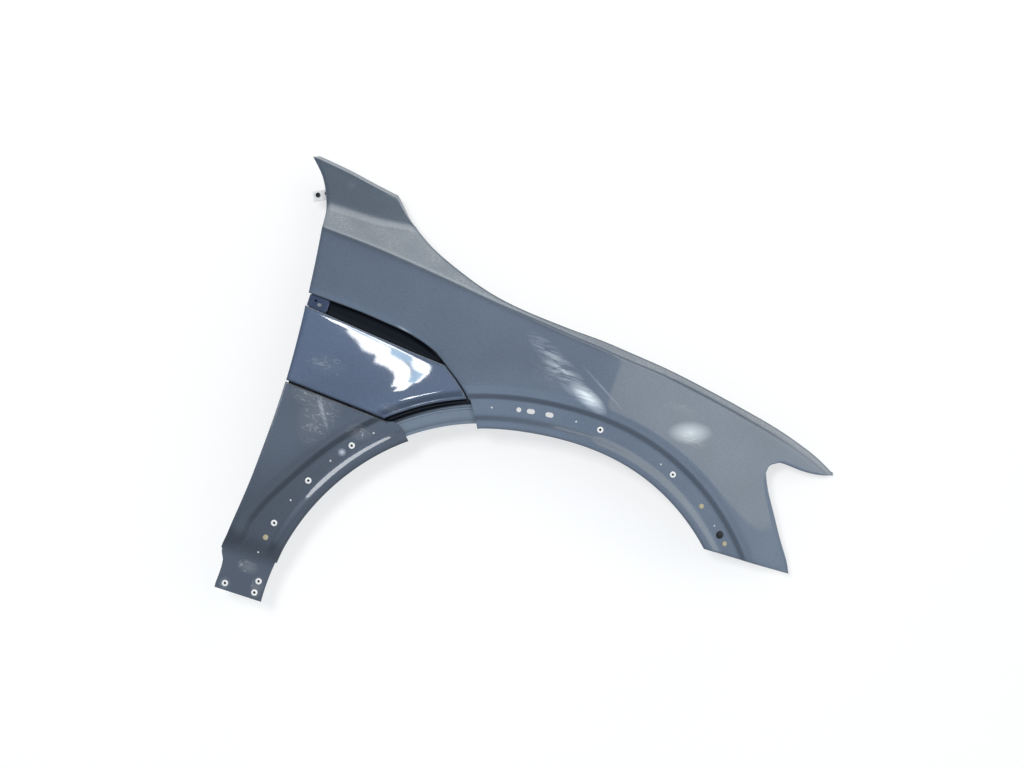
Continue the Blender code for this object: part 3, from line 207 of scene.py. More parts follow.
# %% Body side surface
# Crown over the height, sweep of the nose and of the tail, and flare round the arch
CROWN_RADIUS = 2300.0
CROWN_HEIGHT = 300.0
NOSE_SWEEP = 135.0
NOSE_START = -20.0
NOSE_LENGTH = 480.0
NOSE_CURVE = 2.3
TAIL_SWEEP = 12.0
TAIL_LENGTH = 560.0
ARCH_FLARE = 7.0
FLARE_WIDTH = 70.0
# Distance from the arch edge at which the recessed flange meets the skin
STEP_TOP = 62.0


def side(x, z):
    """Depth of the body side: crowned, swept in at the nose, flared round the arch."""
    nose = NOSE_SWEEP * (max(0.0, x - NOSE_START) / NOSE_LENGTH) ** NOSE_CURVE
    tail = TAIL_SWEEP * (max(0.0, -x) / TAIL_LENGTH) ** 2
    crown = (z - CROWN_HEIGHT) ** 2 / (2 * CROWN_RADIUS)
    offset, _ = arch_offset(x, z)
    flare = ARCH_FLARE * math.exp(-((offset - STEP_TOP) / FLARE_WIDTH) ** 2)
    return nose + tail + crown - flare


print("side sweeps in", round(side(400, 400) - side(0, 400), 1), "mm towards the nose")


# %% [markdown]
# Above the crease the panel turns inboard as a sloping band, and above the valley the sail
# stands nearly upright again. Each bend is a slope that starts softly at its line, so the
# press line stays crisp with no step in it.

# %% Shoulder and sail surface
# Slope of the band, which turns steeper from a place on the wing and over a length
BAND_SLOPE = 1.0
BAND_SLOPE_FRONT = 1.5
BAND_TURN_START = -300
BAND_TURN_LENGTH = 500
SAIL_SLOPE = 0.25
CREASE_ROUND = 2.2


def shoulder(x, z):
    """Depth added by the shoulder band above the crease and the sail above the valley."""
    turned_to_front = smooth((x - BAND_TURN_START) / BAND_TURN_LENGTH)
    slope = BAND_SLOPE + (BAND_SLOPE_FRONT - BAND_SLOPE) * turned_to_front
    rise = soft_ramp(z - through(CREASE, x), CREASE_ROUND)
    turn = soft_ramp(z - through(VALLEY, x), CREASE_ROUND * 2)
    return slope * rise - (slope - SAIL_SLOPE) * turn


print("the band lies", round(shoulder(-420, 670), 1), "mm in from the crease")


# %% [markdown]
# Round the arch the sheet is pressed inboard to seat a plastic wheel-arch trim: a lip at the
# edge, a sloped strip, a flat for the clips, and a wall up to the skin. It is written
# as depth against the distance from the arch edge, so that it follows the circle.

# %% Recess round the arch
# Widths of the lip, the sloped strip, the wall and the roll above it, then their depths
LIP = 12.0
STRIP = 13.0
STEP_WALL = 11.0
STEP_ROLL = 16.0
STEP_DEPTH = 9.0
LIP_RISE = 4.0
ROLL_DEPTH = 1.5
# Distance of the holes from the arch edge
HOLE_LINE = 37.0


def recess(offset, top):
    """Depth of the arch flange: lip, sloped strip, flat and wall, up to the skin."""
    wall = smooth((top - offset) / STEP_WALL)
    lip = smooth((LIP + STRIP - offset) / STRIP)
    roll = smooth((top + STEP_ROLL - offset) / STEP_ROLL)
    return (STEP_DEPTH - ROLL_DEPTH) * wall - LIP_RISE * lip + ROLL_DEPTH * roll


def wing_depth(x, z):
    """The whole wing: side, shoulder and arch recess in one."""
    offset, _ = arch_offset(x, z)
    return side(x, z) + shoulder(x, z) + recess(offset, STEP_TOP)


print("flat of the recess lies", round(recess(HOLE_LINE, STEP_TOP), 1), "mm in from the skin")


# %% [markdown]
# A mesh needs rows of points at even steps. Steps can be cut finer where a bend needs more of
# them, and a curve through measured points can be shared out evenly along its length.

# %% Rows of points
def spaced(start, end, count):
    """Even steps from start to end."""
    return [start + (end - start) * i / count for i in range(count + 1)]


def finer(values, count):
    """The same steps, each cut into count smaller ones."""
    out = [values[0]]
    for a, b in zip(values, values[1:]):
        out += [a + (b - a) * k / count for k in range(1, count + 1)]
    return out


def resample(points, count):
    """Points evenly spaced along a polyline."""
    lengths = [0.0]
    for a, b in zip(points, points[1:]):
        lengths.append(lengths[-1] + (b - a).length)
    out = []
    for want in spaced(0.0, lengths[-1], count):
        i = 0
        while i < len(points) - 2 and lengths[i + 1] < want:
            i += 1
        t = (want - lengths[i]) / (lengths[i + 1] - lengths[i])
        out.append(points[i].lerp(points[i + 1], t))
    return out


def smooth_line(points, count):
    """Even points along a smooth curve through points given in any order of direction."""
    dense = []
    vectors = [Vector(p) for p in points]
    ends = [2 * vectors[0] - vectors[1]] + vectors + [2 * vectors[-1] - vectors[-2]]
    for p0, p1, p2, p3 in zip(ends, ends[1:], ends[2:], ends[3:]):
        for k in range(8):
            t = k / 8
            a = 2 * p1 + (p2 - p0) * t + (2 * p0 - 5 * p1 + 4 * p2 - p3) * t * t
            dense.append((a + (3 * p1 - p0 - 3 * p2 + p3) * t ** 3) * 0.5)
    dense.append(vectors[-1])
    return resample(dense, count)


print("steps cut in two:", finer((0.0, 1.0), 2))


# %% [markdown]
# Each panel's outline is filled with rows of points, and every point is set to the surface's
# depth. Filling from four edges keeps the rows running along the panel, so the
# reflections in the paint flow along it too.

# %% Fill an outline
# Edge points closer than this are welded, where a patch runs out to a point
WELD = 0.6


def coons(bottom, top, left, right):
    """Rows of points filling four edges; bottom and top run one way, the sides up."""
    columns = len(bottom) - 1
    rows = len(left) - 1
    grid = []
    for j in range(rows + 1):
        v = (left[j] - left[0]).length / (left[-1] - left[0]).length
        row = []
        for i in range(columns + 1):
            u = i / columns
            ruled = bottom[i] * (1 - v) + top[i] * v + left[j] * (1 - u) + right[j] * u
            corners = (bottom[0] * (1 - u) + bottom[-1] * u) * (1 - v)
            corners += (top[0] * (1 - u) + top[-1] * u) * v
            row.append(ruled - corners)
        row[0] = left[j]
        row[-1] = right[j]
        grid.append(row)
    grid[0] = list(bottom)
    grid[-1] = list(top)
    return grid


def skin(grids, depth):
    """Open surface from grids of (x, z) points that share their edge points."""
    bm = bmesh.new()
    found = {}

    def vertex(p):
        key = (round(p.x, 2), round(p.y, 2))
        if key not in found:
            found[key] = bm.verts.new((p.x, depth(p.x, p.y), p.y))
        return found[key]

    for grid in grids:
        for low, high in zip(grid, grid[1:]):
            for i in range(len(low) - 1):
                around = (low[i], low[i + 1], high[i + 1], high[i])
                corners = dict.fromkeys(vertex(p) for p in around)
                if len(corners) > 2:
                    bm.faces.new(list(corners))
    edge = [v for v in bm.verts if v.is_boundary]
    bmesh.ops.remove_doubles(bm, verts=edge, dist=WELD)
    return bm


print("edge points closer than", WELD, "mm are welded")


# %% [markdown]
# A press turns the panel's edge inboard. To do the same, the open edge is walked once round
# and each of its points gets a direction that points out of the panel.

# %% Walk round an open edge
# A sharp corner is pushed out by no more than one over this
SHARPEST = 0.6


def boundary(bm):
    """Vertices round the open edge, in order."""
    links = {}
    for edge in bm.edges:
        if edge.is_boundary:
            a, b = edge.verts
            links.setdefault(a, []).append(b)
            links.setdefault(b, []).append(a)
    start = min(links, key=lambda v: (v.co.x, v.co.z))
    loop = [start]
    came = None
    here = start
    while True:
        step = [v for v in links[here] if v is not came][0]
        if step is start:
            return loop
        came = here
        here = step
        loop.append(step)


def outward(loop):
    """Unit directions in the XZ plane, pointing out of the panel at each edge vertex."""
    area = 0.0
    for a, b in zip(loop, loop[1:] + loop[:1]):
        area += a.co.x * b.co.z - b.co.x * a.co.z
    turn = 1 if area > 0 else -1
    out = {}
    count = len(loop)
    for i, vert in enumerate(loop):
        ends = [loop[i - 1].co, vert.co, loop[(i + 1) % count].co]
        normals = []
        for a, b in zip(ends, ends[1:]):
            d = b - a
            normals.append(Vector((d.z, 0, -d.x)).normalized() * turn)
        mean = (normals[0] + normals[1]).normalized()
        out[vert] = mean / max(SHARPEST, mean.dot(normals[0]))
    return out


print("a sharp corner goes out by at most", round(BEND / SHARPEST, 1), "mm")


# %% [markdown]
# The fold itself is a small round bend and then a straight return. A solid bevel would round
# the edge as well, but only a return shows the depth of a real hem from the side.

# %% Fold the edge inboard
def add_rows(bm, verts, moves, closed=False):
    """Extend a chain of edge vertices by rows; each move turns a vertex into its next place."""
    chains = [verts]
    for move in moves:
        chains.append([bm.verts.new(move(v, i)) for i, v in enumerate(verts)])
    for low, high in zip(chains, chains[1:]):
        ring = list(zip(low, high))
        pairs = list(zip(ring, ring[1:]))
        if closed:
            pairs.append((ring[-1], ring[0]))
        for (a, c), (b, d) in pairs:
            bm.faces.new((a, b, d, c))
    return chains[-1]


def square_ends(chain, out):
    """Make a folded stretch end square to its own edge."""
    for end, beside in ((chain[0], chain[1]), (chain[-1], chain[-2])):
        along = Vector((beside.co.x - end.co.x, 0, beside.co.z - end.co.z)).normalized()
        out[end] = (out[end] - along * out[end].dot(along)).normalized()


def fold(bm, folded, reach, bend=BEND):
    """Turn the panel's edge inboard round a bend, along the stretches that are folded."""
    loop = boundary(bm)
    out = outward(loop)
    flags = [folded(v.co.x, v.co.z) for v in loop]
    if not all(flags):
        first = next(i for i, f in enumerate(flags) if not f)
        loop = loop[first:] + loop[:first]
        flags = flags[first:] + flags[:first]
    chains = []
    for vert, flag in zip(loop, flags):
        if not flag:
            chains.append([])
        elif chains:
            chains[-1].append(vert)
        else:
            chains.append([vert])
    ends = []
    for chain in [c for c in chains if len(c) > 1]:
        if not all(flags):
            square_ends(chain, out)

        def arc(turn):
            out_by = bend * math.sin(turn)
            in_by = bend * (1 - math.cos(turn))
            return lambda v, i: v.co + out[v] * out_by + Vector((0, in_by, 0))

        def edge(v, i):
            deep, drop = reach(v.co.x, v.co.z)
            return v.co + out[v] * bend + Vector((0, deep, -drop))

        quarter = [arc(math.pi / 8 * k) for k in (1, 2, 3, 4)]
        ends.append(add_rows(bm, chain, quarter + [edge], all(flags)))
    return ends


print("quarter bend of", BEND, "mm, return of", RETURN, "mm")


# %% [markdown]
# The wing is one pressing: the arch flange, the side, the strip under the headlamp, the
# finger over it, the shoulder band and the sail behind the bonnet. First come the lines that
# only the wing has: its rear edge and the headlamp cut-out.

# %% Edges of the wing
# Each step of the CAD mesh is cut into this many
FINE = 3
# Angles in degrees about the wheel centre, against the distance from the arch edge
WING_REAR = set_back(((0, 112.3), (31, 112.9), (49, 113.3), (78, 114.7), (105, 116.4),
                      (133, 118.05)))
# The slot's upper edge, and the inner corner of the headlamp cut-out
SLOT_TOP = drawn(((-515, 519), (-417, 515), (-363, 510), (-327, 506), (-300, 500), (-283, 495),
                  (-257, 484), (-246, 473)))
LAMP_CORNER = (356.0 * PLAN, 468.0 * PLAN)
LAMP_CORNER_RADIUS = 17.0
LAMP_CORNER_LIFT = 2
LAMP_CORNER_FROM = 205
LAMP_CORNER_TO = 110


def wing_rear(offset):
    """Rear edge of the arch part of the wing, set in by the bend."""
    p = polar(through(WING_REAR, offset), offset)
    return Vector((p.x + BEND, p.y))


def lamp_corner(count):
    """Rounded inner corner of the headlamp cut-out, from its lower line to its upper."""
    x, z = LAMP_CORNER
    centre = Vector((x + LAMP_CORNER_RADIUS, z + LAMP_CORNER_LIFT))
    points = []
    for a in spaced(LAMP_CORNER_FROM, LAMP_CORNER_TO, count):
        out = Vector((math.cos(math.radians(a)), math.sin(math.radians(a))))
        points.append(centre + out * (LAMP_CORNER_RADIUS + BEND))
    return points


def crease_row(start, end, count):
    """Points along the crease at even steps of X."""
    return [Vector((x, through(CREASE, x))) for x in spaced(start, end, count)]


print("wing's rear edge at", WING_REAR[0][1], "degrees")


# %% [markdown]
# The bonnet bolts to a flange along the wing's top edge. Its lands are level, so the rows of
# the mesh are moved to the ends of the lands, and the flange can then turn there crisply.

# %% Bonnet line
# Middles of the bolt lands, and half the length of one
LAND_X = (-190.0 * PLAN, 85.0 * PLAN, 330.0 * PLAN)
LAND_HALF = 26.0


def with_lands(places):
    """Evenly spaced X places, the nearest ones moved to the ends of the bolt lands."""
    for land in LAND_X:
        for end in (land - LAND_HALF, land + LAND_HALF):
            i = min(range(1, len(places) - 1), key=lambda k: abs(places[k] - end))
            places[i] = end
    return places


def top_point(x):
    """The bonnet line at x, set in by the bend."""
    return Vector((x, through(TOP, x) - BEND))


print("bonnet lands at", LAND_X)


# %% [markdown]
# The patches of the wing share their edge points, so that they join without a seam. The
# shared places are found first.

# %% Shared points of the wing's patches
ARCH_ROWS = finer((BEND, LIP, LIP + STRIP, HOLE_LINE, STEP_TOP - STEP_WALL,
                   STEP_TOP - STEP_WALL * 0.7, STEP_TOP - STEP_WALL * 0.3, STEP_TOP,
                   STEP_TOP + STEP_ROLL / 2, STEP_TOP + STEP_ROLL), FINE)
# The columns at the slot's end lean back to the crease, those at the headlamp lean forward
SLOT_LEAN = 6
LAMP_LEAN = 14

# Shares of the way across a patch: even, and closer together towards the crease
lanes = spaced(0, 1, 3 * FINE)
rises = finer((0.0, 0.4, 0.8, 0.95, 1.0), FINE)
door_foot = door_corner(SLOT_TOP) + Vector((BEND, BEND))
step = ARCH_ROWS[-1]
slot_end = WING_REAR[-1][0]
slot_point = wing_rear(slot_end)
crease_rear = door_corner(CREASE) + Vector((BEND, 0))
crease_x = slot_point.x - SLOT_LEAN
crease_slot = Vector((crease_x, through(CREASE, crease_x)))
corner = lamp_corner(6 * FINE)
lamp_mid = corner[3 * FINE]
crease_x = lamp_mid.x + LAMP_LEAN
crease_lamp = Vector((crease_x, through(CREASE, crease_x)))

print("headlamp corner at", [round(c, 1) for c in lamp_mid])


# %% [markdown]
# The first patch lies over the slot, from the door edge to the slot's front end.

# %% Patch over the slot
# Where the sail's front edge meets the bonnet line
NOTCH_X = -373.0 * PLAN
rear_columns = 8 * FINE
slot_columns = 6 * FINE
low = [Vector((x, through(SLOT_TOP, x) + BEND))
       for x in spaced(door_foot.x, slot_point.x, rear_columns + slot_columns)]
low[-1] = slot_point
crease_a = crease_row(crease_rear.x, NOTCH_X, rear_columns)
crease_a += crease_row(NOTCH_X, crease_slot.x, slot_columns)[1:]
left = [Vector((door_x(low[0].y + (crease_rear.y - low[0].y) * t) + BEND,
                low[0].y + (crease_rear.y - low[0].y) * t)) for t in rises]
left[0] = low[0]
slot_column = [slot_point.lerp(crease_slot, t) for t in rises]
over_slot = coons(low, crease_a, left, slot_column)

print("over the slot:", len(over_slot), "rows")


# %% [markdown]
# The arch flange follows the arch edge in rings. It is cut in two at the headlamp, because
# the front half ends on the level bumper line.

# %% Arch flange of the wing
# Angle at which the flange is cut in two, and height and angle of the bumper line
ARCH_SPLIT = 52.8
BUMPER_Z = 305.0 * PLAN
BUMPER_ANGLE = 47
main_columns = 20 * FINE
nose_columns = 6 * FINE
flange_rear = []
flange_front = []
for offset in ARCH_ROWS:
    angles = spaced(through(WING_REAR, offset), ARCH_SPLIT, main_columns)
    row = [polar(a, offset) for a in angles]
    row[0] = wing_rear(offset)
    row[1] = polar((angles[0] + angles[2]) / 2, offset)
    flange_rear.append(row)
    radius = arch_radius(BUMPER_ANGLE) + offset
    end = math.degrees(math.asin((BUMPER_Z + BEND) / radius))
    flange_front.append([polar(a, offset) for a in spaced(ARCH_SPLIT, end, nose_columns)])

print("arch flange:", len(flange_rear), "rings")


# %% [markdown]
# The large side fills the room between the arch flange and the crease.

# %% Main side
rear = [wing_rear(step + (slot_end - step) * t) for t in lanes] + slot_column[1:]
lamp_column = [polar(ARCH_SPLIT, step).lerp(lamp_mid, t) for t in lanes]
upper_column = [lamp_mid.lerp(crease_lamp, t) for t in rises]
crease_b = [Vector((x, through(CREASE, x)))
            for x in with_lands(spaced(crease_slot.x, crease_lamp.x, main_columns))]
main_side = coons(flange_rear[-1], crease_b, rear, lamp_column + upper_column[1:])

print("main side:", len(main_side), "by", len(main_side[0]), "points")


# %% [markdown]
# Under the headlamp a strip runs down to the bumper line, and above it a finger runs out to
# a point. Both start from the rounded corner of the cut-out.

# %% Strip and finger round the headlamp
# Direction out of the cut-out's lower edge, by which the bend is set back
LAMP_SET_BACK = Vector((-0.85, -0.53))
LAMP_LOWER = drawn(((457, 305), (446, 328), (422, 360), (391, 406), (370, 438)))
LAMP_UPPER = drawn(((380, 491), (426, 489), (460, 492), (487, 499)))
# Where the finger ends
TIP_X = 487.0 * PLAN
TIP_DROP = 1.0
# The crease and the bonnet line keep this far apart where the finger runs out
TIP_HEIGHT = 0.8
TOP_HEIGHT = 0.7
lamp_edge = [Vector(p) + LAMP_SET_BACK * BEND for p in LAMP_LOWER]
lamp_edge[0].y = BUMPER_Z + BEND
lamp_low = smooth_line(list(reversed(lamp_edge + corner[:3 * FINE + 1])), nose_columns)
lamp_low[0] = lamp_mid
bumper = [flange_front[-1][-1].lerp(lamp_low[-1], t) for t in lanes]
strip = coons(flange_front[-1], lamp_low, lamp_column, bumper)

tip_columns = 8 * FINE
finger_edge = corner[3 * FINE:] + [Vector((x, z + BEND)) for x, z in LAMP_UPPER]
lamp_high = smooth_line(finger_edge, tip_columns)
lamp_high[0] = lamp_mid
crease_c = crease_row(crease_lamp.x, TIP_X - BEND, tip_columns)
lamp_high[-1] = Vector((crease_c[-1].x, lamp_high[-1].y - TIP_DROP))
# Close to the tip the crease would cross the lower edge, so it is kept just above it
for low_point, crease_point in zip(lamp_high, crease_c):
    crease_point.y = max(crease_point.y, low_point.y + TIP_HEIGHT)
tip = [lamp_high[-1].lerp(crease_c[-1], t) for t in rises]
finger = coons(lamp_high, crease_c, upper_column, tip)

print("finger ends at", [round(c, 1) for c in tip[0]])


# %% [markdown]
# The shoulder band climbs from the crease to the valley, and further forward to the bonnet
# line, all along the wing.

# %% Shoulder band
climb = finer((0.0, 0.04, 0.15, 0.5, 1.0), FINE)
valley_rear = door_corner(VALLEY) + Vector((BEND, 0))
notch = Vector((NOTCH_X, through(VALLEY, NOTCH_X) - BEND))
valley = [Vector((x, through(VALLEY, x))) for x in spaced(valley_rear.x, NOTCH_X, rear_columns)]
valley[-1] = notch
crease_all = crease_a + crease_b[1:] + crease_c[1:]
bonnet = [Vector((p.x, max(top_point(p.x).y, p.y + TOP_HEIGHT)))
          for p in crease_all[rear_columns + 1:]]
band_left = [Vector((door_x(crease_rear.y + (valley_rear.y - crease_rear.y) * t) + BEND,
                     crease_rear.y + (valley_rear.y - crease_rear.y) * t)) for t in climb]
band_left[0] = crease_all[0]
band_left[-1] = valley[0]
band_right = [crease_all[-1].lerp(bonnet[-1], t) for t in climb]
band = coons(crease_all, valley + bonnet, band_left, band_right)

print("shoulder band:", len(band), "rows")


# %% [markdown]
# The sail is the upright blade of sheet behind the bonnet's corner.

# %% Sail
# Front end of the sail's top edge, and height of the bracket on its rear edge
SAIL_FRONT_X = -422.0 * PLAN
PILLAR_Z = 700.0 * PLAN
sail_rear = door_corner(SAIL_TOP) + Vector((BEND * 1.4, -BEND * 1.6))
bracket = (PILLAR_Z - valley_rear.y) / (sail_rear.y - valley_rear.y)
tall = finer((0.0, bracket, (1 + bracket) / 2, 1.0), FINE)
sail_top = [Vector((x, through(SAIL_TOP, x) - BEND))
            for x in spaced(sail_rear.x, SAIL_FRONT_X, rear_columns)]
sail_left = [Vector((door_x(valley_rear.y + (sail_rear.y - valley_rear.y) * t) + BEND,
                     valley_rear.y + (sail_rear.y - valley_rear.y) * t)) for t in tall]
sail_left[0] = valley[0]
sail_left[-1] = sail_top[0]
sail_right = []
for t in tall:
    x = NOTCH_X + (SAIL_FRONT_X - NOTCH_X) * t
    sail_right.append(Vector((x, through(TOP, x) - BEND)))
sail_right[0] = notch
sail_right[-1] = sail_top[-1]
sail = coons(valley, sail_top, sail_left, sail_right)

wing_patches = [over_slot, flange_rear, flange_front, main_side, strip, finger, band, sail]
print("wing patches:", len(wing_patches))


# %% [markdown]
# The return edge isn't equally deep all round: it is short at the arch, deep at the bumper
# and at the slot, and under the bonnet it drops away to meet the mounting flange.

# %% Return edge of the wing
# Depth over the slot, where the join screws pass, and how much deeper it is at the bumper
JOIN_FLANGE = 21.0
BUMPER_EXTRA = 8
# Under the bonnet it is shallower by this share and drops; along the sail it lifts
BONNET_SHALLOWER = 0.4
BONNET_DROP = 9.0
SAIL_LIFT = 5.0
# Lengths over which it changes behind the notch, ahead of it, and short of the finger's tip
SAIL_EASE = 40
BONNET_EASE = 110
TIP_EASE = 40
TIP_CLEAR = 12


def wing_reach(x, z):
    """Depth and drop of the wing's return edge."""
    offset, _ = arch_offset(x, z)
    if offset < LIP:
        return BEND + ARCH_RETURN, 0.0
    if abs(z - BUMPER_Z - BEND) < 1:
        return BEND + RETURN + BUMPER_EXTRA, 0.0
    if z < through(SLOT_TOP, x) + 2 * BEND and x < SLOT_TOP[-1][0]:
        return JOIN_FLANGE, 0.0
    if z > through(CREASE, x) + 1 and x > door_x(z) + 2 * BEND:
        bonnet = smooth((x - NOTCH_X) / BONNET_EASE) * smooth((TIP_X - TIP_CLEAR - x) / TIP_EASE)
        sail = smooth((NOTCH_X - x) / SAIL_EASE)
        return RETURN * (1 - BONNET_SHALLOWER * bonnet), BONNET_DROP * bonnet - SAIL_LIFT * sail
    return RETURN, 0.0


print("return over the slot:", wing_reach(-450, through(SLOT_TOP, -450))[0], "mm")


# %% [markdown]
# The bonnet-side flange carries the wing's bolts. It is level at each bolt land and sloped
# between them. The middle land is also where the model's origin lies.

# %% Bonnet-side flange
# Its depth below the bonnet line, its width and its two ends
RAIL_DROP = 24.0
RAIL_WIDTH = 24.0
RAIL_REAR = -255.0 * PLAN
RAIL_FRONT = 415.0 * PLAN
# Gap between the return edge and the flange's first bend
RAIL_STEP = 1.0
# How far it climbs behind the first land and falls ahead of the last
RAIL_CLIMB = 12
RAIL_FALL = 26
# Distance of the origin behind the middle land's hole
ORIGIN_BEHIND = 14.0


def land_z(x):
    """Height of the bonnet-side flange: level at each bolt land, sloped between them."""
    knots = []
    for land in LAND_X:
        z = through(TOP, land) - RAIL_DROP
        half = LAND_HALF + 1.0
        knots += [(land - half, z), (land + half, z)]
    knots.insert(0, (RAIL_REAR, knots[0][1] + RAIL_CLIMB))
    knots.append((RAIL_FRONT + 20, knots[-1][1] - RAIL_FALL))
    for (x0, z0), (x1, z1) in zip(knots, knots[1:]):
        if x <= x1:
            t = min(max((x - x0) / (x1 - x0), 0.0), 1.0)
            return z0 + (z1 - z0) * t
    return knots[-1][1]


def rail(bm, edge):
    """Bonnet-side mounting flange, beyond the return edge."""
    verts = [v for v in edge if RAIL_REAR < v.co.x < RAIL_FRONT
             and v.co.z > through(CREASE, v.co.x) - 20]
    verts.sort(key=lambda v: v.co.x)

    def corner(v, i):
        return Vector((v.co.x, v.co.y + RAIL_STEP, land_z(v.co.x) + BEND))

    def floor(v, i):
        return Vector((v.co.x, v.co.y + RAIL_STEP + BEND, land_z(v.co.x)))

    def lip(v, i):
        return Vector((v.co.x, v.co.y + RAIL_STEP + RAIL_WIDTH, land_z(v.co.x)))

    add_rows(bm, verts, [corner, floor, lip])


def rail_point(x):
    """Middle of the bonnet-side flange's upper face at x."""
    z = through(TOP, x) - BEND
    deep, _ = wing_reach(x, z)
    y = wing_depth(x, z) + deep + RAIL_STEP + (BEND + RAIL_WIDTH) / 2
    return Vector((x, y, land_z(x)))


ORIGIN = rail_point(LAND_X[1]) - Vector((ORIGIN_BEHIND, 0, SHEET))
print("origin, from the wheel centre:", [round(c, 4) for c in ORIGIN])


# %% [markdown]
# A working mesh is drawn in millimetres about the wheel centre. The frame wants metres
# about the origin, so one function moves it there and links it.

# %% Turn a working mesh into an object
def add_prism(bm, place, outline, length):
    """A straight prism about its middle, along the local Z axis."""
    rings = []
    for h in (-length / 2, length / 2):
        rings.append([bm.verts.new(place @ Vector((x, y, h))) for x, y in outline])
    bm.faces.new(list(reversed(rings[0])))
    bm.faces.new(rings[1])
    count = len(outline)
    for i in range(count):
        k = (i + 1) % count
        bm.faces.new((rings[0][i], rings[0][k], rings[1][k], rings[1][i]))


def circle(radius, count=32):
    """Outline of a round hole or stem."""
    turns = [2 * math.pi * i / count for i in range(count)]
    return [(radius * math.cos(turn), radius * math.sin(turn)) for turn in turns]


def oval(radius, half_length, count=32):
    """Outline of a slotted hole with round ends."""
    return [(x + math.copysign(half_length - radius, x), y) for x, y in circle(radius, count)]


def mesh_object(name, bm):
    """Link a working mesh, drawn in millimetres, as an object in metres about the origin."""
    bmesh.ops.recalc_face_normals(bm, faces=bm.faces)
    mesh = bpy.data.meshes.new(name)
    bm.to_mesh(mesh)
    bm.free()
    mesh.transform(Matrix.Scale(MM, 4) @ Matrix.Translation(-ORIGIN))
    obj = bpy.data.objects.new(name, mesh)
    bpy.context.scene.collection.objects.link(obj)
    return obj


print("a circle has", len(circle(1.0)), "points")


# %% [markdown]
# Real sheet has a thickness, and its holes are pierced through. The skin is thickened
# inboard, so the outside keeps its measured place, and then a boolean joins the bosses and
# takes out the holes, which gives each hole a true wall.

# %% Sheet panels
def sheet(name, bm, thickness, holes=(), bosses=()):
    """Thicken an outboard skin inboard, then join its bosses and pierce its holes."""
    bmesh.ops.recalc_face_normals(bm, faces=bm.faces)
    if sum(f.normal.y * f.calc_area() for f in bm.faces) > 0:
        bmesh.ops.reverse_faces(bm, faces=bm.faces)
    mesh = bpy.data.meshes.new(name)
    bm.to_mesh(mesh)
    bm.free()
    mesh.transform(Matrix.Scale(MM, 4) @ Matrix.Translation(-ORIGIN))
    obj = bpy.data.objects.new(name, mesh)
    bpy.context.scene.collection.objects.link(obj)
    shell = obj.modifiers.new("Sheet", "SOLIDIFY")
    shell.thickness = thickness * MM
    shell.offset = -1
    tools = []
    for operation, prisms in (("UNION", bosses), ("DIFFERENCE", holes)):
        if prisms:
            cutter = bmesh.new()
            for place, outline, length in prisms:
                add_prism(cutter, place, outline, length)
            tool = mesh_object(name + "_tool", cutter)
            step = obj.modifiers.new(operation, "BOOLEAN")
            step.object = tool
            step.operation = operation
            step.solver = "EXACT"
            tools.append(tool)
    bpy.context.view_layer.update()
    worked = obj.evaluated_get(bpy.context.evaluated_depsgraph_get())
    solid = bpy.data.meshes.new_from_object(worked)
    obj.modifiers.clear()
    obj.data = solid
    for tool in tools:
        bpy.data.objects.remove(tool, do_unlink=True)
    return obj


print("steel sheet is", SHEET, "mm thick")


# %% [markdown]
# Rings, plugs and clips are round, so each is a half section turned about its own axis.

# %% Turned pieces
# Sides of a turned piece, enough for a head a centimetre wide to look round
SIDES = 40


def turned(name, place, profile, count=SIDES, hollow=False):
    """A turned piece: (radius, height) points about the local Z axis."""
    bm = bmesh.new()
    rings = []
    for radius, height in profile:
        rings.append([bm.verts.new(place @ Vector((x, y, height)))
                      for x, y in circle(radius, count)])
    pairs = list(zip(rings, rings[1:]))
    if hollow:
        pairs.append((rings[-1], rings[0]))
    else:
        bm.faces.new(list(reversed(rings[0])))
        bm.faces.new(rings[-1])
    for low, high in pairs:
        for i in range(count):
            k = (i + 1) % count
            bm.faces.new((low[i], low[k], high[k], high[i]))
    return mesh_object(name, bm)


print("a turned piece has", SIDES, "sides")


# %% [markdown]
# A finished piece takes the place of its CAD node: it rides on the same body, and only edges
# sharper than a soft bend stay crisp.

# %% Stand in for a CAD node
SHARP_ANGLE = math.radians(35)


def set_piece(obj, node, material, inner=None):
    """Shade a finished piece, and let it stand for its CAD node; inner is a second finish."""
    obj.data.shade_smooth()
    obj.data.set_sharp_from_angle(angle=SHARP_ANGLE)
    indices = [face.material_index for face in obj.data.polygons]
    obj.data.materials.clear()
    for finish in (material, inner):
        if finish:
            obj.data.materials.append(finish)
    if inner:
        obj.data.polygons.foreach_set("material_index", indices)
    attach(obj, "root")
    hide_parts(node)
    print(obj.name, len(obj.data.polygons), "faces")
    return obj


# %% [markdown]
# Holes and fastenings sit square on the skin, so each has a frame whose own Z axis points
# inboard along the surface normal.

# %% Places on the panels
def seated(x, z, depth, inboard=0.0):
    """Frame on a skin: local Z points inboard along the surface normal."""
    d = 0.5
    dx = (depth(x + d, z) - depth(x - d, z)) / (2 * d)
    dz = (depth(x, z + d) - depth(x, z - d)) / (2 * d)
    normal = Vector((-dx, 1, -dz)).normalized()
    across = Vector((1, dx, 0)).normalized()
    up = normal.cross(across)
    axes = Matrix((across, up, normal)).transposed().to_4x4()
    return Matrix.Translation(Vector((x, depth(x, z), z)) + normal * inboard) @ axes


def on_arch(angle, depth, offset=HOLE_LINE, inboard=0.0):
    """Frame on the hole line of the arch flange, or at another distance from the edge."""
    p = polar(angle, offset)
    return seated(p.x, p.y, depth, inboard)


def along_z(x, y, z, slope=0.0):
    """Frame whose local Z points up, leaned to suit a flange of the given slope."""
    turn = Matrix.Rotation(-math.atan(slope), 4, "Y")
    return Matrix.Translation((x, y, z)) @ turn


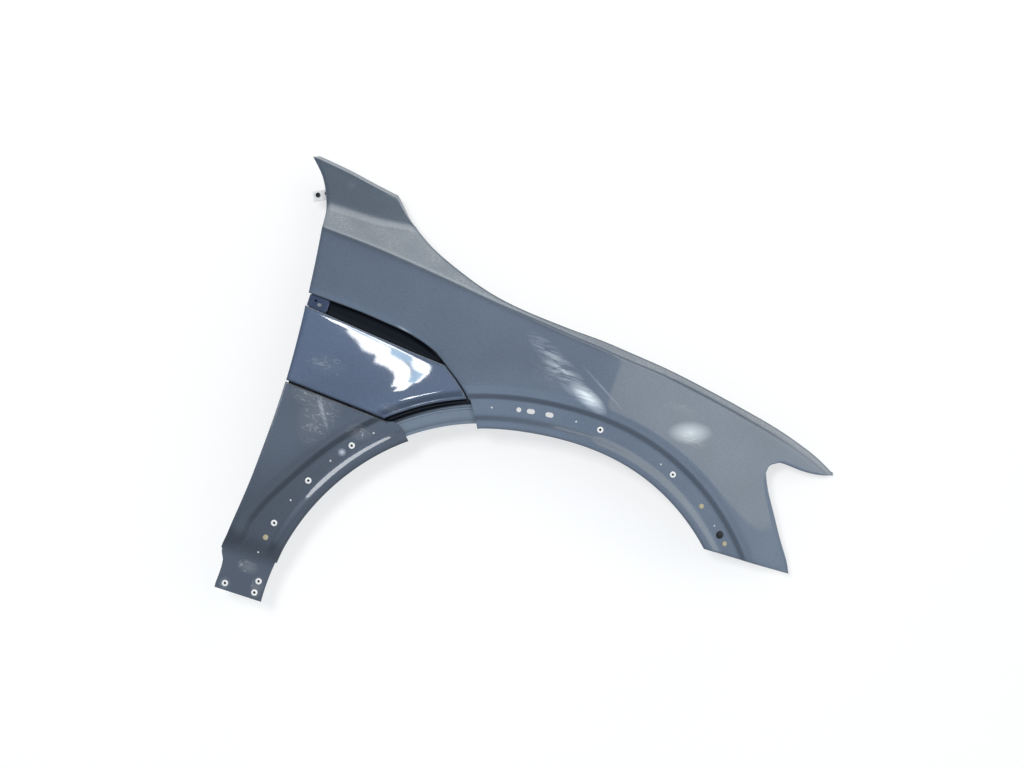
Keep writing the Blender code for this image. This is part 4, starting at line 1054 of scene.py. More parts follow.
print("a frame on the arch at", [round(c, 1) for c in on_arch(90, wing_depth).translation])


# %% [markdown]
# The wing is joined to the parts below it by screws through its turned-in edges: two in the
# flange over the slot, and one rivet in the edge behind the sail, which holds a bracket.

# %% Screws through the wing's edges
# Places of the slot screws, and how far inboard of the skin they sit
JOIN_X = (-450.0 * PLAN, -385.0 * PLAN)
JOIN_DEPTH = 16.0
# The rivet sits this far inboard along the return edge
RIVET_INBOARD = 6.2


def slot_frame(x):
    """Frame on the wing's flange over the slot, local Z up through it."""
    slope = (through(SLOT_TOP, x + 5) - through(SLOT_TOP, x - 5)) / 10
    z = through(SLOT_TOP, x)
    return along_z(x, wing_depth(x, z + BEND) + JOIN_DEPTH, z + SHEET / 2, slope)


def pillar_frame():
    """Frame on the return edge behind the sail: X forward, Y inboard, Z up along the edge."""
    def edge(z):
        x = door_x(z)
        return Vector((x, wing_depth(x + BEND, z), z))

    along = (edge(PILLAR_Z + 10) - edge(PILLAR_Z - 10)).normalized()
    forward = Vector((0, 1, 0)).cross(along).normalized()
    inboard = along.cross(forward)
    turn = Matrix((forward, inboard, along)).transposed().to_4x4()
    return Matrix.Translation(edge(PILLAR_Z)) @ turn


def pillar_rivet_turn():
    """From the pillar frame to the rivet's, whose Z runs forward through the edge."""
    return Matrix.Translation((0, RIVET_INBOARD, 0)) @ Matrix.Rotation(math.radians(90), 4, "Y")


print("slot screws at", JOIN_X)


# %% [markdown]
# The flat of the arch flange is pierced for push-in nuts, clips and screws. Round holes fix
# the place of a fastening, and ovals leave it some play.
# A punch has to be longer than the sheet is thick, even where the skin slopes.

# %% Holes in the wing
# Radii of a ring's barrel and of a screw, and the play round each
GROMMET_BARREL = 3.8
SCREW_SHANK = 2.4
HOLE_CLEARANCE = 0.4
# Angles about the wheel centre
WING_GROMMETS = (83.9, 64.9)
WING_SMALL_HOLES = (108.5, 89.5, 68.4, 49.9)
WING_LARGE_HOLE = 102.5
WING_OVAL_HOLES = (99.8, 95.6)
PLUG_ANGLE = 47.5
STUB_ANGLES = (55.3, 45.2)
# Radii, and half the length of an oval
SMALL_HOLE = 1.6
LARGE_HOLE = 4.2
OVAL_HALF = 7.0
LAND_HOLE = 7.0
# Lengths of the punches
PUNCH = 14
LAND_PUNCH = 12
JOIN_PUNCH = 5
RIVET_PUNCH = 6


def wing_holes():
    """Frame, outline and length of the punch for each hole."""
    holes = []
    hole = GROMMET_BARREL + HOLE_CLEARANCE
    for angle in WING_GROMMETS:
        holes.append((on_arch(angle, wing_depth), circle(hole), PUNCH))
    for angle in WING_SMALL_HOLES:
        holes.append((on_arch(angle, wing_depth), circle(SMALL_HOLE, 20), PUNCH))
    holes.append((on_arch(WING_LARGE_HOLE, wing_depth), circle(LARGE_HOLE), PUNCH))
    for angle in WING_OVAL_HOLES:
        place = on_arch(angle, wing_depth) @ Matrix.Rotation(math.radians(90 - angle), 4, "Z")
        holes.append((place, oval(LARGE_HOLE, OVAL_HALF), PUNCH))
    for angle in (PLUG_ANGLE,) + STUB_ANGLES:
        holes.append((on_arch(angle, wing_depth), circle(hole), PUNCH))
    for x in LAND_X:
        p = rail_point(x)
        holes.append((Matrix.Translation(p), oval(LAND_HOLE / 2, LAND_HOLE * 0.7), LAND_PUNCH))
    for x in JOIN_X:
        holes.append((slot_frame(x), circle(SCREW_SHANK + HOLE_CLEARANCE), JOIN_PUNCH))
    place = pillar_frame() @ pillar_rivet_turn()
    holes.append((place, circle(SCREW_SHANK + HOLE_CLEARANCE), RIVET_PUNCH))
    return holes


print("holes in the wing:", len(wing_holes()))


# %% [markdown]
# Now the finishes. Each colour is written as sRGB hex, as it would be read off a swatch, and
# one function turns it to linear light. One function adds a node with its settings and
# links, so that each pattern can be read as a short list of steps.

# %% Colours and nodes
def linear(hex_code):
    """Linear colour with alpha from an sRGB hex string."""
    channels = [int(hex_code[i:i + 2], 16) / 255 for i in (0, 2, 4)]
    light = [c / 12.92 if c <= 0.04045 else ((c + 0.055) / 1.055) ** 2.4 for c in channels]
    return tuple(light) + (1.0,)


def new_material(name):
    """A material with only its Principled shader and output in its tree."""
    material = bpy.data.materials.new(name)
    material.use_nodes = True
    return material, material.node_tree.nodes["Principled BSDF"]


def add(material, kind, settings=None, **links):
    """Add a node with its settings; each link is an input's value or another node's output."""
    node = material.node_tree.nodes.new(kind)
    for key, value in (settings or {}).items():
        setattr(node, key, value)
    for key, value in links.items():
        name = int(key[1:]) if key[0] == "i" and key[1:].isdigit() else key.replace("_", " ")
        socket = node.inputs[name]
        if hasattr(value, "is_output"):
            material.node_tree.links.new(value, socket)
        else:
            socket.default_value = value
    return node


print("mid grey in linear light:", round(linear("808080")[0], 3))


# %% [markdown]
# Patterns are sized by what they are on the real panel. A noise texture's scale is the number
# of its cells in a metre, so it is worked out from the size of one cell in millimetres.
# Marks and painted highlights sit where they show on the real panel, measured from the
# wheel centre.

# %% Real sizes for patterns
MULTIPLY = {"operation": "MULTIPLY"}
LARGER = {"operation": "MAXIMUM"}
TIMES_PLUS = {"operation": "MULTIPLY_ADD"}
COLOURS = {"data_type": "RGBA"}


def cells_of(size):
    """Scale of a pattern whose cells are about this many millimetres wide."""
    return 1 / (size * MM)


def from_wheel(x, y, z):
    """A point drawn from the wheel centre, in metres about the origin."""
    return (Vector((x, y, z)) - ORIGIN) * MM


def soft_oval(material, place, centre, radius, soft=0.5, stretch=(1, 1, 1), tilt=0.0):
    """Soft oval mask about a point, with its radius in millimetres and its tilt in degrees."""
    away = add(material, "ShaderNodeVectorMath", {"operation": "SUBTRACT"}, i0=place,
               i1=from_wheel(*centre))
    level = add(material, "ShaderNodeVectorRotate", {"rotation_type": "Y_AXIS"},
                Vector=away.outputs[0], Angle=math.radians(tilt))
    wide = add(material, "ShaderNodeVectorMath", {"operation": "DIVIDE"}, i0=level.outputs[0],
               i1=stretch)
    far = add(material, "ShaderNodeVectorMath", {"operation": "LENGTH"}, i0=wide.outputs[0])
    mask = add(material, "ShaderNodeMapRange", None, Value=far.outputs["Value"],
               From_Min=radius * MM * (1 - soft), From_Max=radius * MM, To_Min=1.0, To_Max=0.0)
    return mask.outputs[0]


print("a pattern of 5 mm cells has scale", cells_of(5))


# %% [markdown]
# Metallic paint is a grey-blue base full of aluminium flake. Real flake is a few hundredths of
# a millimetre, far finer than a pixel of this picture, which covers 1.7 mm. It is drawn
# at 1.6 mm, just coarse enough to show as a faint sparkle. Slow clouds over it
# stand for the uneven lay of a sprayed coat.

# %% Metal flake
FLAKE = 1.6
CLOUD = 111.0


def flake_colour(material, place, base, fleck):
    """Colour of the base coat: flecks of flake in it, and light and dark clouds."""
    flake = add(material, "ShaderNodeTexNoise", None, Vector=place, Scale=cells_of(FLAKE),
                Detail=3.0, Roughness=0.7)
    speck = add(material, "ShaderNodeMapRange", None, Value=flake.outputs["Fac"], From_Min=0.3,
                From_Max=0.8)
    colour = add(material, "ShaderNodeMix", COLOURS, Factor=speck.outputs[0], i6=linear(base),
                 i7=linear(fleck))
    cloud = add(material, "ShaderNodeTexNoise", None, Vector=place, Scale=cells_of(CLOUD),
                Detail=3.0)
    shade = add(material, "ShaderNodeMapRange", None, Value=cloud.outputs["Fac"], From_Min=0.3,
                From_Max=0.7, To_Min=0.92, To_Max=1.06)
    clouded = add(material, "ShaderNodeVectorMath", {"operation": "SCALE"},
                  i0=colour.outputs[2], Scale=shade.outputs[0])
    return clouded.outputs[0]


print("flake scale", round(cells_of(FLAKE)), "cloud scale", round(cells_of(CLOUD)))


# %% [markdown]
# What faces up, above all the shoulder band, carries a pale film: partly dust, and partly a
# painted reflection with a gritty grain. It has gaps in it, in grains of 3 mm gathered in
# patches half as wide as a hand.

# %% Dust and painted reflection on what faces up
DUST_AND_REFLECTION_GRAIN = 3.03
DUST_AND_REFLECTION_PATCH = 45.5
# Upward part of the surface's direction at which the film begins, and is full
FILM_STARTS = 0.45
FILM_FULL = 0.75


def dust_and_reflection_film(material, place, upward, amount):
    """How much dust and painted reflection lies on the paint, from 0 to 1."""
    slope = add(material, "ShaderNodeMapRange", None, Value=upward, From_Min=FILM_STARTS,
                From_Max=FILM_FULL)
    grain = add(material, "ShaderNodeTexNoise", None, Vector=place, Scale=cells_of(DUST_AND_REFLECTION_GRAIN),
                Detail=4.0, Roughness=0.75)
    patch = add(material, "ShaderNodeTexNoise", None, Vector=place, Scale=cells_of(DUST_AND_REFLECTION_PATCH),
                Detail=4.0)
    grains = add(material, "ShaderNodeMapRange", None, Value=grain.outputs["Fac"],
                 From_Min=0.47, From_Max=0.6)
    patches = add(material, "ShaderNodeMapRange", None, Value=patch.outputs["Fac"],
                  From_Min=0.35, From_Max=0.7)
    gritty = add(material, "ShaderNodeMath", MULTIPLY, i0=grains.outputs[0],
                 i1=patches.outputs[0])
    film = add(material, "ShaderNodeMath", TIMES_PLUS, i0=gritty.outputs[0], i1=0.75, i2=0.2)
    upward_film = add(material, "ShaderNodeMath", MULTIPLY, i0=film.outputs[0], i1=slope.outputs[0])
    return add(material, "ShaderNodeMath", MULTIPLY, i0=upward_film.outputs[0], i1=amount).outputs[0]


print("dust grain scale", round(cells_of(DUST_AND_REFLECTION_GRAIN)))


# %% [markdown]
# Scuffs are bundles of fine scratches where the panel was knocked or leaned on. A noise
# pattern is near its middle value along thin winding lines, so picking out those lines
# gives scratches, and soft ovals say where they are. One bundle, on the sail, is a painted
# highlight: a curved bright line drawn as scratches.

# %% Scuffs
# Size of the noise's cells, along the scratches and across them
SCRATCH_LONG = 33.33
SCRATCH_SHORT = 16.67


def scuffed(material, place, scuffs_and_highlight):
    """Fine scratches inside soft ovals: (centre, radius, stretch, strength) for each."""
    lines = add(material, "ShaderNodeMapping", None, Vector=place, Rotation=(0, 0.9, 0),
                Scale=(cells_of(SCRATCH_LONG), cells_of(SCRATCH_LONG), cells_of(SCRATCH_SHORT)))
    noise = add(material, "ShaderNodeTexNoise", None, Vector=lines.outputs[0], Scale=1.0,
                Detail=3.0, Distortion=0.8)
    level = add(material, "ShaderNodeMath", {"operation": "SUBTRACT"},
                i0=noise.outputs["Fac"], i1=0.5)
    off_middle = add(material, "ShaderNodeMath", {"operation": "ABSOLUTE"}, i0=level.outputs[0])
    scratch = add(material, "ShaderNodeMapRange", None, Value=off_middle.outputs[0],
                  From_Min=0.004, From_Max=0.02, To_Min=1.0, To_Max=0.0)
    rubbed = add(material, "ShaderNodeMath", TIMES_PLUS, i0=scratch.outputs[0], i1=0.7, i2=0.15)
    worn = 0.0
    for centre, radius, stretch, strength in scuffs_and_highlight:
        mask = soft_oval(material, place, centre, radius, 0.8, stretch)
        patch = add(material, "ShaderNodeMath", MULTIPLY, i0=mask, i1=strength)
        worn = add(material, "ShaderNodeMath", LARGER, i0=worn, i1=patch.outputs[0]).outputs[0]
    return add(material, "ShaderNodeMath", MULTIPLY, i0=worn, i1=rubbed.outputs[0]).outputs[0]


print("scratches are", SCRATCH_LONG, "by", SCRATCH_SHORT, "mm")


# %% [markdown]
# Some highlights and reflections are painted into the clear coat: pale spots that glow
# softly in any light, broken into streaks. A lamp of their own would light the whole side,
# so they are painted into the coat.

# %% Painted highlights
# Size of one streak of a painted highlight
STREAK_LONG = 33.33
STREAK_WIDE = 4.35


def painted_highlights(material, place, highlight_marks):
    """Painted highlights: (centre, radius, stretch, strength, tilt, share cut by streaks) for
    each.
    """
    streaks = add(material, "ShaderNodeMapping", None, Vector=place,
                  Scale=(cells_of(STREAK_LONG), cells_of(STREAK_LONG), cells_of(STREAK_WIDE)))
    noise = add(material, "ShaderNodeTexNoise", None, Vector=streaks.outputs[0], Scale=1.0,
                Detail=3.0, Distortion=0.5)
    streak = add(material, "ShaderNodeMapRange", None, Value=noise.outputs["Fac"],
                 From_Min=0.42, From_Max=0.62)
    highlit = 0.0
    for centre, radius, stretch, strength, tilt, broken in highlight_marks:
        mask = soft_oval(material, place, centre, radius, 1.0, stretch, tilt)
        spot = add(material, "ShaderNodeMath", MULTIPLY, i0=mask, i1=strength)
        cut = add(material, "ShaderNodeMapRange", None, Value=streak.outputs[0],
                  To_Min=1 - broken, To_Max=1.0)
        spot = add(material, "ShaderNodeMath", MULTIPLY, i0=spot.outputs[0], i1=cut.outputs[0])
        highlit = add(material, "ShaderNodeMath", LARGER, i0=highlit, i1=spot.outputs[0]).outputs[0]
    return highlit


print("highlight strokes are", STREAK_LONG, "by", STREAK_WIDE, "mm")


# %% [markdown]
# The colour of the paint is its flake, under the dust, the wear, the painted reflection and
# the painted highlights. Wear and painted highlights are kept to the outboard face; the back
# of the sheet was never knocked.

# %% Colour of worn paint with painted light
# Pale grey of the dust and painted reflection film, and near-white of the painted highlights
DUST_AND_REFLECTION_COLOUR = "c9c9c4"
HIGHLIGHT_COLOUR = "eaf2f6"


def wear_and_painted_light_colour(material, place, base, fleck, scuffs_and_highlight, highlight_marks, dust_and_reflection):
    """Colour of the paint with its wear and painted light, and how much they dull it."""
    normal = add(material, "ShaderNodeNewGeometry").outputs["Normal"]
    facing = add(material, "ShaderNodeSeparateXYZ", None, Vector=normal)
    outboard = add(material, "ShaderNodeMapRange", None, Value=facing.outputs["Y"],
                   From_Min=-0.3, From_Max=-0.1, To_Min=1.0, To_Max=0.0)
    wear_and_painted_light = dust_and_reflection_film(material, place, facing.outputs["Z"], dust_and_reflection)
    if scuffs_and_highlight:
        rubbed = add(material, "ShaderNodeMath", MULTIPLY,
                     i0=scuffed(material, place, scuffs_and_highlight), i1=outboard.outputs[0])
        wear_and_painted_light = add(material, "ShaderNodeMath", LARGER, i0=wear_and_painted_light, i1=rubbed.outputs[0]).outputs[0]
    colour = add(material, "ShaderNodeMix", COLOURS, Factor=wear_and_painted_light,
                 i6=flake_colour(material, place, base, fleck), i7=linear(DUST_AND_REFLECTION_COLOUR))
    if highlight_marks:
        highlit = add(material, "ShaderNodeMath", MULTIPLY, i0=painted_highlights(material, place, highlight_marks),
                   i1=outboard.outputs[0])
        colour = add(material, "ShaderNodeMix", COLOURS, Factor=highlit.outputs[0],
                     i6=colour.outputs[2], i7=linear(HIGHLIGHT_COLOUR))
        wear_and_painted_light = add(material, "ShaderNodeMath", LARGER, i0=wear_and_painted_light, i1=highlit.outputs[0]).outputs[0]
    return colour.outputs[2], wear_and_painted_light


print("dust in linear light:", [round(c, 2) for c in linear(DUST_AND_REFLECTION_COLOUR)[:3]])


# %% [markdown]
# Car paint is two coats: the metallic base, and over it a hard clear coat that mirrors the
# room. Principled has both. Under the wear, the dust, the painted reflection and the painted
# highlights it is less metallic and the coat is rougher. A sprayed coat has a skin like
# orange peel, waves of about 4 mm and a hundredth of a millimetre high, which bends each
# reflection a little.

# %% Clearcoat paint
PEEL = 4.17
PEEL_HEIGHT = 0.006


def body_paint(name, base, fleck, scuffs_and_highlight=(), highlight_marks=(), dust_and_reflection=0.5):
    """Metallic base coat under a gloss clear coat, with dust and painted reflection, scuffs and
    painted highlights.
    """
    material, shader = new_material(name)
    link = material.node_tree.links.new
    place = add(material, "ShaderNodeTexCoord").outputs["Object"]
    colour, wear_and_painted_light = wear_and_painted_light_colour(material, place, base, fleck, scuffs_and_highlight, highlight_marks, dust_and_reflection)
    link(colour, shader.inputs["Base Color"])
    metal = add(material, "ShaderNodeMapRange", None, Value=wear_and_painted_light, To_Min=0.55, To_Max=0.0)
    link(metal.outputs[0], shader.inputs["Metallic"])
    shader.inputs["Roughness"].default_value = 0.42
    shader.inputs["Coat Weight"].default_value = 1.0
    shader.inputs["Coat IOR"].default_value = 1.5
    rough = add(material, "ShaderNodeMapRange", None, Value=wear_and_painted_light, To_Min=0.035, To_Max=0.5)
    link(rough.outputs[0], shader.inputs["Coat Roughness"])
    peel = add(material, "ShaderNodeTexNoise", None, Vector=place, Scale=cells_of(PEEL),
               Detail=1.0)
    wavy = add(material, "ShaderNodeBump", None, Strength=1.0, Distance=PEEL_HEIGHT * MM,
               Height=peel.outputs["Fac"])
    link(wavy.outputs[0], shader.inputs["Coat Normal"])
    print("paint", name, "with", len(material.node_tree.nodes), "nodes")
    return material


# %% [markdown]
# The wing's paint is a slate metallic baked on steel in a paint shop: even and glossy, a blue
# grey that is light where it faces a wall. Its marks and painted highlights are listed where
# they show on the real panel, in millimetres from the wheel centre.

# %% Wing's slate paint
# Centre, radius, stretch, strength; the second, on the sail, is a painted highlight
WING_SCUFFS_AND_SAIL_HIGHLIGHT = (((-430, 70, 560), 14, (1.6, 1, 0.7), 0.9),
               ((-505, 95, 735), 22, (0.5, 1, 1.1), 0.35),
               ((205, 25, 482), 26, (1.4, 1, 0.6), 0.5),
               ((-60, 8, 520), 40, (1.2, 1, 0.8), 0.3),
               ((176, 20, 528), 20, (1.6, 2, 0.5), 0.3))
# Painted highlights and reflections: centre, radius, stretch, strength, tilt, share cut by
# streaks
WING_HIGHLIGHTS = (((200, 25, 492), 42, (1, 2, 0.5), 0.6, 16, 0.0),
              ((-46, 8, 526), 98, (1, 2, 0.22), 0.55, -32, 1.0),
              ((8, 4, 496), 46, (1, 2, 0.34), 1.3, -24, 0.4),
              ((28, 6, 520), 60, (1, 2, 0.04), 0.22, -30, 0.3),
              ((-494, 80, 650), 7, (0.3, 4, 1), 0.6, 20, 0.0),
              ((-487, 80, 649), 7, (0.3, 4, 1), 0.7, 20, 0.0),
              ((-330, 15, 509), 17, (1, 2, 0.2), 0.45, -12, 0.5))
slate_paint = body_paint("Slate metallic clearcoat on the wing", "5f6b79", "76818f",
                         WING_SCUFFS_AND_SAIL_HIGHLIGHT, WING_HIGHLIGHTS, dust_and_reflection=0.42)


# %% [markdown]
# The lower panel has the same paint, but it faces down towards the ground and mirrors a
# darker part of the room, so its base colour is painted darker as shade. Its foot is rubbed
# where it sat on the sill, and pale smudges on its top are drawn as painted highlights.

# %% Lower panel's slate paint
LEG_SCUFFS = (((-425, 8, 330), 55, (0.7, 1, 1.3), 0.4),
              ((-452, 8, 352), 34, (1.0, 1, 0.8), 0.4),
              ((-462, 30, 30), 22, (1, 1, 0.6), 0.8),
              ((-492, 31, -9), 12, (1, 1, 1), 0.9),
              ((-437, 31, 2), 16, (0.8, 1, 1.3), 0.8),
              ((-350, 5, 315), 20, (1.3, 1, 0.8), 0.6))
LEG_SMUDGES_AND_HIGHLIGHTS = (((-366, 8, 273), 8, (1, 1, 1), 0.6, 0, 0.4),
             ((-420, 8, 330), 42, (1, 1, 0.12), 0.3, -55, 0.7))
slate_lower_painted_shade = body_paint("Slate metallic clearcoat on the lower panel", "3c4551", "4d5661",
                         LEG_SCUFFS, LEG_SMUDGES_AND_HIGHLIGHTS)


# %% [markdown]
# The vent panel and the tab were sprayed apart from the steel. On plastic the same slate
# comes out a shade bluer. The tab lies deep in its slot, so its base colour is painted
# darker still as shade.

# %% Slate paint on the small panels
VENT_SCUFFS = (((-440, 10, 410), 30, (1.4, 1, 0.7), 0.3),
               ((-300, 0, 372), 20, (1.5, 1, 0.6), 0.4))
slate_on_plastic = body_paint("Slate metallic clearcoat on plastic", "4d5a6e", "66748a",
                              VENT_SCUFFS)
slate_tab_painted_shade = body_paint("Slate clearcoat, darker on the tab", "2c3852", "44536f")


# %% [markdown]
# Moulded plastic takes its surface from the mould, and plated steel from its bath: one colour
# all through, with a fine grain that breaks the shine, and slow changes of tone. So one
# recipe serves both, with its own colour, roughness and grain for each.

# %% Moulded and plated surfaces
TINT_PATCH = 16.67
TINT_DARKER = 0.85
# Near black of painted shade in a deep recess
SLOT_SHADE_COLOUR = "10141a"


def surface(name, colour, roughness, metallic=0.0, grain=0.5, depth=0.02, shine=0.5,
            shaded_beyond=None):
    """A moulded or plated surface; grain and its depth are in millimetres."""
    material, shader = new_material(name)
    place = add(material, "ShaderNodeTexCoord").outputs["Object"]
    noise = add(material, "ShaderNodeTexNoise", None, Vector=place, Scale=cells_of(grain),
                Detail=3.0)
    bump = add(material, "ShaderNodeBump", None, Strength=0.2, Distance=depth * MM,
               Height=noise.outputs["Fac"])
    tint = add(material, "ShaderNodeTexNoise", None, Vector=place, Scale=cells_of(TINT_PATCH),
               Detail=2.0)
    darker = tuple(c * TINT_DARKER for c in linear(colour)[:3]) + (1.0,)
    tone = add(material, "ShaderNodeMix", COLOURS, Factor=tint.outputs["Fac"], i6=darker,
               i7=linear(colour))
    if shaded_beyond:
        # Painted shade darkens what lies further from the wheel centre than this
        clean = soft_oval(material, place, (0, 0, 0), shaded_beyond, 0.01, (1, 100, 1))
        tone = add(material, "ShaderNodeMix", COLOURS, Factor=clean, i6=linear(SLOT_SHADE_COLOUR),
                   i7=tone.outputs[2])
    material.node_tree.links.new(tone.outputs[2], shader.inputs["Base Color"])
    material.node_tree.links.new(bump.outputs["Normal"], shader.inputs["Normal"])
    shader.inputs["Roughness"].default_value = roughness
    shader.inputs["Metallic"].default_value = metallic
    shader.inputs["Specular IOR Level"].default_value = shine
    print("surface", name)
    return material


# %% [markdown]
# The black blade is ABS from a polished mould, and the outlet tray is polypropylene from a
# satin one. Rings and clips are nylon: white when new, cream with age, and black where
# glass fibre strengthens it.

# %% Plastics
# A polished mould gives deep black with sharp reflections; the slot shades the blade, so it
# mirrors less of the room than it would in the open
piano_black = surface("Gloss black ABS", "04060c", 0.08, grain=2.5, depth=0.002, shine=0.22)
# A satin mould spreads the light, and deep under the vent panel's lip the tray is painted dark as
# shade
grey_pp = surface("Satin grey polypropylene", "7b8896", 0.2, shaded_beyond=460.0)
# New nylon is a clean, slightly soft white
white_nylon = surface("White nylon", "fbfaf6", 0.35)
# Nylon turns cream with age and heat, and its skin goes chalky
cream_nylon = surface("Aged nylon", "bdb293", 0.45, grain=1.11, depth=0.15)
# Glass fibre near the surface makes the black a little grey and dull
black_nylon = surface("Black glass-filled nylon", "15171a", 0.45)


# %% [markdown]
# The screws are steel. Zinc plating is a pale metal with a soft shine, and phosphating leaves
# a dark crystal layer that holds oil, so it is half metal and half dull.

# %% Metals
zinc_steel = surface("Zinc-plated steel", "b4b6b2", 0.35, metallic=1.0)
black_steel = surface("Black phosphated steel", "202224", 0.45, metallic=0.6)


# %% [markdown]
# The wing is folded inboard along all its edges but one: the cut end of the arch flange,
# where the sheet is simply sheared. The bonnet-side flange is added to the folded edge,
# and then the sheet is thickened and pierced.

# %% Wing panel
def make_wing():
    """The wing as one pierced sheet."""
    bm = skin(wing_patches, wing_depth)

    def folded(x, z):
        offset, angle = arch_offset(x, z)
        return not (BEND + 1 < offset < STEP_TOP - STEP_WALL and angle > WING_REAR[0][1] - 1.2)

    for edge in fold(bm, folded, wing_reach):
        rail(bm, edge)
    return sheet("Wing_skin", bm, SHEET, wing_holes())


set_piece(make_wing(), "wing_panel", slate_paint)


# %% [markdown]
# The lower panel hangs below the vent panel and carries the rear half of the arch flange down
# to the sill. The seam above it is a straight gap, and its foot is a flat pad.

# %% Lower panel outlines
# Two points of the seam above it, and the height of its lower end
SEAM_REAR_X = -498.0 * PLAN
SEAM_REAR_Z = 361.0 * PLAN
SEAM_FRONT_X = -310.0 * PLAN
SEAM_FRONT_Z = 350.0 * PLAN
FOOT_Z = -21.0 * PLAN
# Angles of its front edge, against the distance from the arch edge
LEG_FRONT = set_back(((0, 128.7), (25, 129.1), (37, 129.8), (46, 131.1), (62, 133.2),
                      (78, 135.4)))
# Width of the recessed flange down the lower panel, against the angle
LEG_STEP = ((129, 62), (145, 63), (155, 67), (163, 76), (170, 82), (181, 84))


def seam_z(x):
    """Centre line of the gap between the vent panel and the lower panel."""
    t = (x - SEAM_REAR_X) / (SEAM_FRONT_X - SEAM_REAR_X)
    return SEAM_REAR_Z + (SEAM_FRONT_Z - SEAM_REAR_Z) * t


def leg_width(angle):
    """Width of the recessed flange, kept clear of the door edge near the foot."""
    z = -math.tan(math.radians(180 - angle)) * door_x(60)
    reach = -door_x(z) / math.cos(math.radians(180 - angle)) - arch_radius(angle)
    return min(through(LEG_STEP, angle), reach - STEP_ROLL - BEND - 4)


print("seam's middle height:", round(seam_z(-400), 1), "mm")


# %% [markdown]
# Its surface is the same body side. Near the foot the recess widens until it fills the whole
# panel, and the foot itself is one level pad, so that it lies flat on the sill.

# %% Lower panel surface
# Heights up to which the foot is level and unfolded, and over which the fold begins
FOOT_FLAT = 45.0
FOOT_FOLD = 28.0
FOLD_EASE = 20.0
# Height below which the recess fills the panel, and the lengths over which both change
FOOT_TOP = 90
FOOT_BLEND = 45
PAD_BLEND = 40


def leg_depth(x, z):
    """The recess fills the whole width of the foot, which ends in a flat pad."""
    offset, angle = arch_offset(x, z)
    foot = smooth((FOOT_TOP - z) / FOOT_BLEND)
    depth = side(x, z) + STEP_DEPTH * foot + (1 - foot) * recess(offset, leg_width(angle))
    pad = side(SEAM_REAR_X, 0) + STEP_DEPTH
    flat = smooth((FOOT_FLAT + PAD_BLEND - z) / PAD_BLEND)
    return depth + (pad - depth) * flat


def leg_grids():
    """Patches of the lower panel: the arch flange and the skin behind it."""
    count = 20 * FINE
    top_gap = PANEL_GAP / 2 + BEND
    flange = []
    for offset in ARCH_ROWS:
        start = through(LEG_FRONT, offset)
        row = []
        for t in spaced(0, 1, count):
            s = offset
            angle = start
            for _ in range(4):
                if offset > HOLE_LINE + 1:
                    s = offset + leg_width(angle) - STEP_TOP
                end = 180 + math.degrees(math.asin(-FOOT_Z / (arch_radius(180) + s)))
                angle = start + (end - start) * t
            row.append(polar(angle, s))
        row[-1].y = FOOT_Z
        if offset > 46:
            row[0].y = seam_z(row[0].x) - top_gap
        flange.append(row[::-1])
    step = flange[-1]
    seam_end = seam_z(SEAM_REAR_X) - top_gap
    door = []
    for z in spaced(FOOT_Z, seam_end, count):
        door.append(Vector((door_x(z) + BEND * smooth((z - FOOT_FOLD) / FOLD_EASE), z)))
    foot = [step[0].lerp(door[0], t) for t in spaced(0, 1, 4 * FINE)]
    seam = []
    for x in spaced(step[-1].x, door[-1].x, 4 * FINE):
        seam.append(Vector((x, seam_z(x) - top_gap)))
    return [flange, coons(step, door, foot, seam)]


print("foot pad's depth:", round(leg_depth(-460, -10), 1), "mm")


# %% [markdown]
# The panel is pierced like the wing: rings and a clip on the arch, three rings on the foot
# for its sill screws, and two screws up through its top flange.

# %% Holes in the lower panel
LEG_GROMMETS = (164.9, 152.9, 140.7)
FOOT_GROMMETS = drawn(((-492, -9), (-437, 12), (-438, -9)))
CLIP_ANGLE = 168.6
LEG_SMALL_HOLES = (172.4, 158.7, 146.4, 135.2)
SEAM_JOIN_X = (-455.0 * PLAN, -365.0 * PLAN)


def seam_frame(x):
    """Frame on the lower panel's top flange, local Z up through it."""
    slope = (SEAM_FRONT_Z - SEAM_REAR_Z) / (SEAM_FRONT_X - SEAM_REAR_X)
    z = seam_z(x) - PANEL_GAP / 2
    return along_z(x, leg_depth(x, z - BEND) + JOIN_DEPTH, z - SHEET / 2, slope)


def lower_holes():
    """Frame, outline and length of the punch for each hole."""
    holes = []
    hole = GROMMET_BARREL + HOLE_CLEARANCE
    for angle in LEG_GROMMETS + (CLIP_ANGLE,):
        holes.append((on_arch(angle, leg_depth), circle(hole), PUNCH))
    for angle in LEG_SMALL_HOLES:
        holes.append((on_arch(angle, leg_depth), circle(SMALL_HOLE, 20), PUNCH))
    for x, z in FOOT_GROMMETS:
        holes.append((seated(x, z, leg_depth), circle(hole), PUNCH))
    for x in SEAM_JOIN_X:
        holes.append((seam_frame(x), circle(SCREW_SHANK + HOLE_CLEARANCE), JOIN_PUNCH))
    return holes


print("holes in the lower panel:", len(lower_holes()))


# %% [markdown]
# It is folded above the foot only, since the foot ends in a plain cut edge, and the return is
# deepest along the seam, where the join screws pass.

# %% Lower panel
# The join flange begins this far behind the seam's front end
JOIN_START = 28.0


